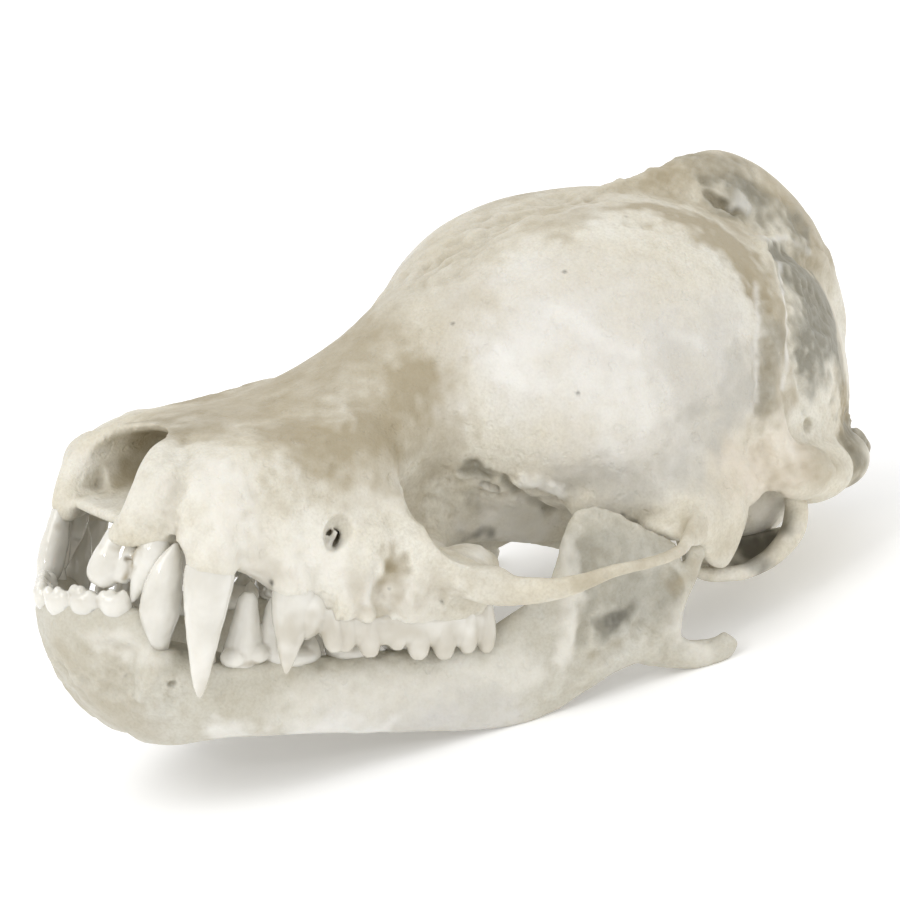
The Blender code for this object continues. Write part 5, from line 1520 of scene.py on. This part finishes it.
JAW_STAINS = (
    ("cool", ((3.25, 5.2, 0.4), (3.77, 6.96, 0.52), (4.16, 8.8, 0.36)), 1.1, 0.8),
    ("pale", ((3.2, 4.0, 1.2), (3.8, 7.0, 1.3), (4.3, 9.2, 1.6)), 0.8, 0.6),
    ("pale", ((4.49, 10.32, 4.28), (4.69, 10.37, 3.05), (4.6, 10.15, 1.79)), 0.38, 0.9),
    ("pale", ((5.35, 13.35, 1.66), (5.1, 13.0, 2.6)), 0.6, 0.6),
    ("pale", ((1.3, 0.3, 2.6), (2.1, 1.0, 2.4)), 0.6, 0.7),
    ("tan", ((0.4, 0.1, 0.9), (1.0, 0.65, 0.84), (1.9, 0.9, 0.6)), 1.1, 0.48),
    ("tan", ((0.6, -0.1, 2.4), (1.16, 0.34, 1.72), (1.5, 0.5, 2.0)), 0.6, 0.3),
    # Painted light along the underside of the jaw body, which lies in shade.
    ("bright", ((2.9, 2.6, 0.4), (3.25, 4.6, 0.3), (3.6, 6.0, 0.3)), 0.7, 0.8),
    ("grey", ((3.6, 6.6, 0.9), (4.1, 8.4, 0.9)), 0.8, 0.15),
    ("tan", ((4.95, 12.9, 3.3), (5.05, 13.2, 3.6)), 0.5, 0.75),
    ("grey", ((4.83, 10.98, 3.92), (4.9, 11.5, 3.6), (4.9, 12.3, 3.0)), 1.4, 0.62),
    ("grey", ((4.78, 10.75, 3.6), (4.81, 10.8, 3.0), (4.74, 10.6, 2.1)), 0.34, 0.6),
    ("grey", ((4.9, 11.15, 2.38), (4.92, 11.5, 2.55), (4.92, 12.0, 2.8)), 0.46, 1.2),
    ("grey", ((4.86, 11.0, 2.2), (4.88, 11.3, 2.3)), 0.22, 0.8),
    # Painted shade in a pressed groove of the rising branch.
    ("olive", ((4.78, 10.8, 1.7), (4.9, 11.5, 1.98)), 0.16, 0.5),
    # Painted shade in the small pit on the side of the chin.
    ("grime", ((2.5, 1.42, 1.8),), 0.12, 0.9),
    ("grime", ((4.92, 11.3, 2.44), (4.92, 11.6, 2.62)), 0.26, 0.7),
)
print("jaw stains:", len(JAW_STAINS))

# %% [markdown]
# The ear cups get painted shade deep inside. The teeth get faint hills, a gap and brown lines where
# they meet the bone, with painted shade in the gap and between the lower incisors.

# %% Stains of ear rings and teeth
RING_STAINS = (
    # Painted shade deep in the cup.
    ("grey", ((3.6, 15.3, 3.6), (3.6, 15.9, 3.7)), 1.1, 1.3),
    ("grime", ((3.5, 15.0, 3.3), (3.5, 15.8, 3.5)), 1.0, 0.9),
    ("pale", ((4.3, 14.5, 2.95), (4.2, 15.8, 3.1), (4.1, 16.7, 3.8)), 0.3, 0.5),
)
TOOTH_ROUGH = (
    (((1.2, 0.5, 4.4), (2.0, 1.2, 4.2), (3.1, 2.0, 3.2), (3.5, 4.0, 3.0), (3.9, 6.5, 2.6),
      (4.1, 8.4, 2.5)), 1.9, 0.01, 0.75),
    (((0.3, -0.3, 3.4), (1.5, 0.5, 3.4), (2.2, 1.5, 3.2), (2.8, 3.0, 2.8), (2.8, 7.0, 2.4)),
     1.6, 0.008, 0.7),
)
UPPER_STROKES = (
    (((1.68, 0.8, 4.44),), 0.13, -0.12),
    (((1.75, 0.72, 4.2), (1.9, 0.95, 4.6)), 0.16, -0.04),
)
UPPER_STAINS = (
    # Painted shade in the gap pressed into the outer incisor.
    ("grime", ((1.7, 0.78, 4.46),), 0.15, 1.3),
    ("tan", ((1.62, 0.72, 4.05), (1.8, 0.9, 4.7)), 0.12, 0.8),
    ("tan", ((1.2, 0.5, 4.66), (1.6, 0.8, 4.72), (2.0, 1.2, 4.74)), 0.14, 0.4),
    ("tan", ((3.44, 3.6, 3.66), (3.5, 4.2, 3.6)), 0.14, 0.4),
    ("tan", ((3.9, 4.8, 3.2), (4.1, 6.2, 3.02), (4.2, 8.0, 2.86)), 0.14, 0.5),
    ("tan", ((3.16, 1.75, 1.7),), 0.4, 0.22),
    ("tan", ((3.62, 3.8, 2.7), (3.62, 3.66, 2.0)), 0.5, 0.32),
    ("tan", ((3.7, 4.2, 2.8), (3.95, 5.2, 2.7), (4.2, 8.3, 2.4)), 0.9, 0.4),
)
LOWER_STAINS = (
    # Painted shade between the lower incisors.
    ("grime", ((0.66, -0.22, 3.3),), 0.1, 0.9),
    ("grime", ((1.24, 0.2, 3.34),), 0.11, 0.9),
    ("tan", ((0.2, -0.3, 3.12), (0.95, 0.0, 3.16), (1.7, 0.6, 3.16)), 0.14, 0.5),
    ("tan", ((2.1, 1.3, 2.4), (2.1, 1.5, 2.6)), 0.2, 0.4),
    ("tan", ((2.8, 2.6, 2.2), (3.0, 3.05, 2.14), (2.96, 3.5, 2.2)), 0.12, 0.6),
)
print("tooth stains:", len(UPPER_STAINS + LOWER_STAINS))

# %% [markdown]
# Now every skin is worked over, leaned back into the rest pose and given its material.

# %% Dress every piece
work_over(cranium, BONE_RELIEF, CRANIUM_MELTS, SNOUT_STROKES + ORBIT_STROKES + VAULT_STROKES,
          CRANIUM_ROUGH, SNOUT_STAINS + VAULT_STAINS)
dress(cranium, bone_skull, "braincase_bone", "rostrum", "braincase", "zygomatic_arch_left",
      "zygomatic_arch_right")
work_over(jaw, BONE_RELIEF, JAW_MELTS, JAW_STROKES, JAW_ROUGH, JAW_STAINS, planed=True)
dress(jaw, shaded_bone_jaw, "jaw_bone_left", "mandible_left", "mandible_right")
for word, ring in rings.items():
    work_over(lower_enamel[word], TOOTH_RELIEF, rough=TOOTH_ROUGH, stains=LOWER_STAINS)
    dress(lower_enamel[word], enamel_finish, "jaw_bone_" + word)
    work_over(ring, RING_RELIEF, stains=RING_STAINS)
    dress(ring, bone_skull, "ring_bone_" + word, "tympanic_ring_" + word)
work_over(upper_enamel, TOOTH_RELIEF, (), UPPER_STROKES, TOOTH_ROUGH, UPPER_STAINS)
dress(upper_enamel, enamel_finish, "rostrum_bone_and_teeth")
print("dressed:", len(rings) + len(lower_enamel) + 3, "pieces")

# %% [markdown]
# ## Floor and light
#
# The photograph has a plain white ground and soft light from all round, with the key a little
# above and to the left of the camera. A wide pale floor with a faint glow of its own, one big
# softbox, two weak fills and a small lamp for the glints on the teeth give that.

# %% Floor
FLOOR_HALF = 0.6
FLOOR_GREY = 0.97
FLOOR_GLOW = 0.16
floor_shell = bmesh.new()
bmesh.ops.create_grid(floor_shell, x_segments=8, y_segments=8, size=FLOOR_HALF)
floor = link_mesh("floor", floor_shell)
floor_finish = Finish("pale_floor")
floor_finish.set(Base_Color=(FLOOR_GREY, FLOOR_GREY, FLOOR_GREY, 1.0), Roughness=0.9,
                 Emission_Color=WHITE, Emission_Strength=FLOOR_GLOW)
floor.data.materials.append(floor_finish.material)
print("floor half width", FLOOR_HALF, "m")

# %% Lights
LAMP_AIM = (0.0, 10.5, 6.0)
WORLD_LIGHT = 0.84


def softbox(name, side, up, back, size, power):
    """Square lamp placed by the camera's own right, up and back axes, aimed at the skull."""
    lamp = bpy.data.lights.new(name, "AREA")
    lamp.size = size
    lamp.energy = power
    thing = bpy.data.objects.new(name, lamp)
    bpy.context.scene.collection.objects.link(thing)
    way = camera_turn.to_matrix() @ Vector((side, up, back))
    thing.location = TO_REST @ Vector(LAMP_AIM) + way
    thing.rotation_euler = way.to_track_quat("Z", "Y").to_euler()


softbox("key_softbox", -0.24, 0.21, 0.23, 0.28, 0.48)
softbox("fill_softbox", 0.3, 0.06, 0.18, 0.24, 0.16)
softbox("back_softbox", 0.05, 0.3, -0.2, 0.26, 0.12)
softbox("glint_softbox", -0.16, 0.05, 0.24, 0.022, 0.06)

world = bpy.data.worlds.new("studio")
bpy.context.scene.world = world
world.use_nodes = True
sky = world.node_tree.nodes["Background"].inputs
sky["Color"].default_value = WHITE
sky["Strength"].default_value = WORLD_LIGHT
bpy.context.scene.view_settings.view_transform = "Standard"
print("lights ready")
